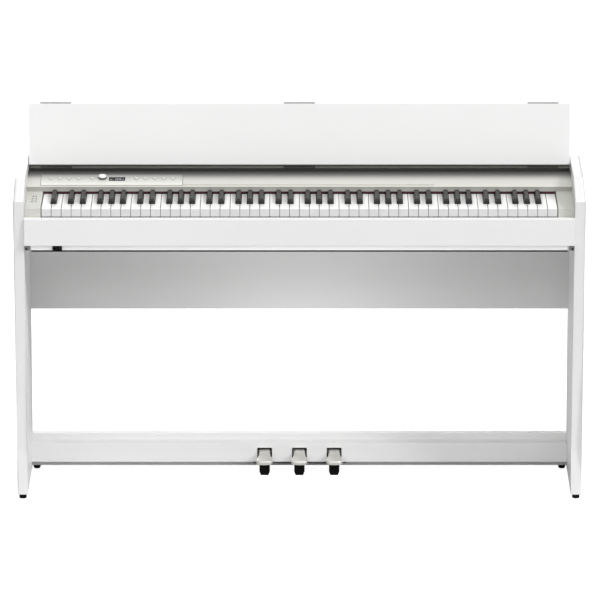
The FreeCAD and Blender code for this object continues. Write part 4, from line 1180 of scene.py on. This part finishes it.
def pedal_plan():
    """Plan of one pedal about its own middle line: straight root, waist, rounded head."""
    line = [(root_half, pedal_back), (root_half, pedal_waist + waist_lead)]
    for step in range(1, 6):
        t = step / 6
        line.append((root_half + (head_half - root_half) * t * t * (3 - 2 * t),
                     pedal_waist + waist_lead - waist_run * t))
    for step in range(7):
        a = math.radians(90 * step / 6)
        line.append((head_half - tip_corner + tip_corner * math.cos(a),
                     pedal_tip + tip_corner - tip_corner * math.sin(a)))
    line.append((0.0035, pedal_tip - 0.0008))
    return line + [(-x, y) for x, y in reversed(line)]


def top_at(y):
    """Height of a pedal's top, which falls a little towards the tip."""
    return pedal_top - fall_slope * max(0.0, fall_from - y)


for side, x in zip(("left", "middle", "right"), pedal_xs):
    form = bmesh.new()
    tops, unders = [[form.verts.new((x + px, py, top_at(py) - drop)) for px, py in pedal_plan()]
                    for drop in (0.0, pedal_gauge)]
    skin(form, [tops, unders])
    top_face = next(f for f in form.faces if tops[0] in f.verts and unders[0] not in f.verts)
    bmesh.ops.bevel(form, geom=list(top_face.edges), offset=bull_top, segments=5, profile=0.5,
                    affect="EDGES", clamp_overlap=True)
    low_edges = [e for e in form.edges
                 if all(abs(v.co.z - top_at(v.co.y) + pedal_gauge) < 1e-5 for v in e.verts)
                 and any(f.normal.z > -0.9 for f in e.link_faces)]
    bmesh.ops.bevel(form, geom=low_edges, offset=bull_under, segments=3, profile=0.5,
                    affect="EDGES", clamp_overlap=True)
    arm = [(pedal_back - 0.013, pedal_top - pedal_gauge + 0.001), (hub_y, pedal_top - 0.009),
           (hub_y, pedal_top - 0.002), (pedal_back - 0.013, pedal_top - 0.002)]
    skin(form, [[form.verts.new((x + s * arm_half, y, z)) for y, z in arm] for s in (-1, 1)])
    turns = [2 * math.pi * k / hub_sides for k in range(hub_sides)]
    skin(form, [[form.verts.new((x + s * arm_half, hub_y + r * math.cos(a),
                                 hub_z + r * math.sin(a))) for a in turns]
                for s, r in ((-1, hub_radius), (1, hub_radius), (1, hub_bore), (-1, hub_bore))],
         closed=True)
    fitted(f"{side}_pedal_cast", form, "pedal_metal", pedal_nickel, node=f"pedal_{side}",
           body=f"pedal_{side}_lever", sharp=40)

# ------------------------------------------------------------
# Pedal chassis, axle and springs: a black steel plate under the cover with brackets for
# the axle, and a coiled torsion spring beside each hub.
# ------------------------------------------------------------
eased_copy("pedal_chassis", 0.0004, black_steel, "black_steel", 2)
bright_steel = finish("bright_steel", (0.60, 0.60, 0.59), (0.50, 0.50, 0.49), 0.28, 0.06,
                      900.0, 0.00001, stretch=(0.05, 1, 1), patch=200.0, Metallic=1.0)
eased_copy("pedal_axle", 0.0004, bright_steel, "grey_steel", 2, 50.0)
wire_radius, coil_turns, coil_radius, coil_length, coil_offset = 0.0009, 5.0, 0.0058, 0.0080, 0.0125
spring_tree, given = new_tree("torsion_springs", ("Turns", "Float"), ("Radius", "Float"),
                              ("Length", "Float"), ("Wire", "Float"), ("Pitch", "Float"),
                              ("Count", "Int"), ("Steel", "Material"))
spring_line = add(spring_tree, "GeometryNodeCurveSpiral",
                  {"Resolution": 20, "Rotations": given["Turns"],
                   "Start Radius": given["Radius"], "End Radius": given["Radius"],
                   "Height": given["Length"]})[0]
spring_round = add(spring_tree, "GeometryNodeCurvePrimitiveCircle",
                   {"Resolution": 8, "Radius": given["Wire"]})["Curve"]
spring_wire = add(spring_tree, "GeometryNodeCurveToMesh",
                  {"Curve": spring_line, "Profile Curve": spring_round, "Fill Caps": True})[0]
spring_row = line_of_points(spring_tree, given["Count"], (0.0, 0.0, 0.0),
                            at(spring_tree, X=given["Pitch"]))
spring_set = copies_on(spring_tree, spring_row, spring_wire, Rotation=(0.0, math.pi / 2, 0.0))
close_tree(spring_tree, spring_set, given["Steel"])
mesh = grown("torsion_springs", spring_tree,
             {"Turns": coil_turns, "Radius": coil_radius, "Length": coil_length,
              "Wire": wire_radius, "Pitch": pedal_xs[2], "Count": 3, "Steel": bright_steel})
mesh.transform(Matrix.Translation((pedal_xs[0] + coil_offset, hub_y, hub_z)))
place_piece("torsion_springs", mesh, "cabinet", "grey_steel", "pedal_springs")

# ------------------------------------------------------------
# Boots and feet: black rubber blocks under the pedal chassis, turned glides under
# the front of the legs, and tapered feet behind, all in black rubber.
# ------------------------------------------------------------
boot_rubber = finish("boot_rubber", (0.005, 0.005, 0.005), (0.003, 0.003, 0.003), 0.8, 0.05,
                     1800.0, 0.00005, Specular_IOR_Level=0.12)
eased_copy("support_boots", 0.0016, boot_rubber, "black_rubber", 3, 25.0)
glide_x, glide_y, rear_x, rear_y = 0.66725, -0.1005, 0.644, 0.1605
glide = [(0.0, 0.0), (0.0078, 0.0), (0.0088, 0.0008), (0.009, 0.0018), (0.009, 0.0060),
         (0.0082, 0.0066), (0.0082, 0.0074), (0.009, 0.0080), (0.009, 0.0099), (0.0, 0.0099)]
tapered = [(0.0, 0.0), (0.0068, 0.0), (0.0074, 0.0005), (0.0078, 0.0012), (0.0104, 0.0092),
           (0.0105, 0.0099), (0.0, 0.0099)]


def gather(form, mesh):
    """Adds a mesh to a form and removes it."""
    form.from_mesh(mesh)
    bpy.data.meshes.remove(mesh)


form = bmesh.new()
for profile, foot_x, foot_y in ((glide, glide_x, glide_y), (tapered, rear_x, rear_y)):
    for side in (-1, 1):
        gather(form, to_mesh("foot", lathe(profile, 36, (side * foot_x, foot_y, 0))))
fitted("turned_feet", form, "black_rubber", boot_rubber, node="feet", sharp=35)

# ------------------------------------------------------------
# Headphone box: a small black moulding let into the front of the keybed, with a dark
# metal bush round each of its two sockets.
# ------------------------------------------------------------
phones_black = finish("phones_black", (0.003, 0.003, 0.003), (0.002, 0.002, 0.002), 0.6, 0.06,
                      1200.0, 0.00003, Specular_IOR_Level=0.06)
eased_copy("phones_box", 0.0006, phones_black, "black_plastic", 2)
jack_metal = finish("jack_metal", (0.10, 0.10, 0.10), (0.07, 0.07, 0.07), 0.35, 0.05, 900.0,
                    0.00001, Metallic=0.8)
jack_y, jack_z, bush_depth, bush_wall = -0.1713, 0.638, 0.004, 0.0010
for name, x, bore in (("large_jack_bush", -0.5815, 0.0032), ("small_jack_bush", -0.5699, 0.0018)):
    form = lathe([(bore, 0.0), (bore, bush_depth), (bore + bush_wall, bush_depth),
                  (bore + bush_wall, 0.0), (bore + 0.0008, -0.0004), (bore + 0.0002, -0.0004),
                  (bore, 0.0)], 32)
    form.transform(Matrix.Translation((x, jack_y, jack_z))
                   @ Matrix.Rotation(-math.pi / 2, 4, "X"))
    fitted(name, form, "grey_steel", jack_metal, sharp=35)

# ------------------------------------------------------------
# Socket plate and power inlet at the back: a folded black plate held by two screws, with a
# round low-voltage inlet that has a bright centre pin. No lead is fitted.
# ------------------------------------------------------------
eased_copy("socket_plate", 0.0004, black_steel, "black_steel", 2)
eased_copy("power_inlet", 0.0005, black_moulding, "black_plastic", 2)
inlet_x, inlet_y, inlet_z = 0.410, 0.1457, 0.686
form = lathe([(0.0, 0.0), (0.0009, 0.0), (0.0009, 0.0095), (0.0006, 0.0103), (0.0, 0.0106)], 20)
form.transform(Matrix.Translation((inlet_x, inlet_y, inlet_z))
               @ Matrix.Rotation(-math.pi / 2, 4, "X"))
fitted("inlet_pin", form, "grey_steel", bright_steel, sharp=35)

# ------------------------------------------------------------
# Speakers and grilles: two round drivers face down through the keybed, each behind a
# slotted moulded disc whose bars follow the circle's chords.
# ------------------------------------------------------------
basket_steel = finish("basket_steel", (0.09, 0.09, 0.09), (0.06, 0.06, 0.06), 0.45, 0.06,
                      900.0, 0.00002, patch=60.0, Metallic=0.6)
eased_copy("speakers", 0.0008, basket_steel, "grey_steel", 1, 50.0)
tree, given = new_tree("slotted_grille", ("Radius", "Float"), ("Rim", "Float"),
                       ("Bar pitch", "Float"), ("Bar width", "Float"), ("Bars", "Int"),
                       ("Thickness", "Float"), ("Plastic", "Material"))
bar_gaps = worked(tree, "SUBTRACT", given["Bars"], 1.0)
bar_back = worked(tree, "MULTIPLY", worked(tree, "MULTIPLY", bar_gaps, given["Bar pitch"]), -0.5)
bar_line = line_of_points(tree, given["Bars"], at(tree, Y=bar_back), at(tree, Y=given["Bar pitch"]))
bar_spot = add(tree, "GeometryNodeInputPosition")[0]
bar_y = add(tree, "ShaderNodeSeparateXYZ", {"Vector": bar_spot})["Y"]
chord_square = worked(tree, "SUBTRACT", worked(tree, "POWER", given["Radius"], 2.0),
                      worked(tree, "MULTIPLY", bar_y, bar_y))
chord = worked(tree, "MULTIPLY", worked(tree, "POWER", chord_square, 0.5), 1.94)
bar_size = at(tree, X=chord, Y=given["Bar width"], Z=given["Thickness"])
unit_bar = add(tree, "GeometryNodeMeshCube", {"Size": (1.0, 1.0, 1.0)})["Mesh"]
bars = copies_on(tree, bar_line, unit_bar, Scale=bar_size)
rim_radius = worked(tree, "ADD", given["Radius"], worked(tree, "MULTIPLY", given["Rim"], -0.5))
rim_line = add(tree, "GeometryNodeCurvePrimitiveCircle",
               {"Resolution": 96, "Radius": rim_radius})["Curve"]
rim_section = add(tree, "GeometryNodeCurvePrimitiveQuadrilateral",
                  {"Width": given["Rim"], "Height": given["Thickness"]})[0]
grille_rim = add(tree, "GeometryNodeCurveToMesh",
                 {"Curve": rim_line, "Profile Curve": rim_section})[0]
close_tree(tree, joined(tree, bars, grille_rim), given["Plastic"])
disc = grown("grille_disc", tree,
             {"Radius": 0.0498, "Rim": 0.0058, "Bar pitch": 0.010, "Bar width": 0.006,
              "Bars": 10, "Thickness": 0.0019, "Plastic": black_moulding})
grille_x, grille_y, grille_z = 0.480, -0.0225, 0.63305
form = bmesh.new()
for side in (-1, 1):
    copy = disc.copy()
    copy.transform(Matrix.Translation((side * grille_x, grille_y, grille_z)))
    gather(form, copy)
face_out(form)
ease(fitted("slotted_grilles", form, "black_plastic", black_moulding, node="speaker_grilles",
            sharp=35), 0.0003, 1, 50.0)
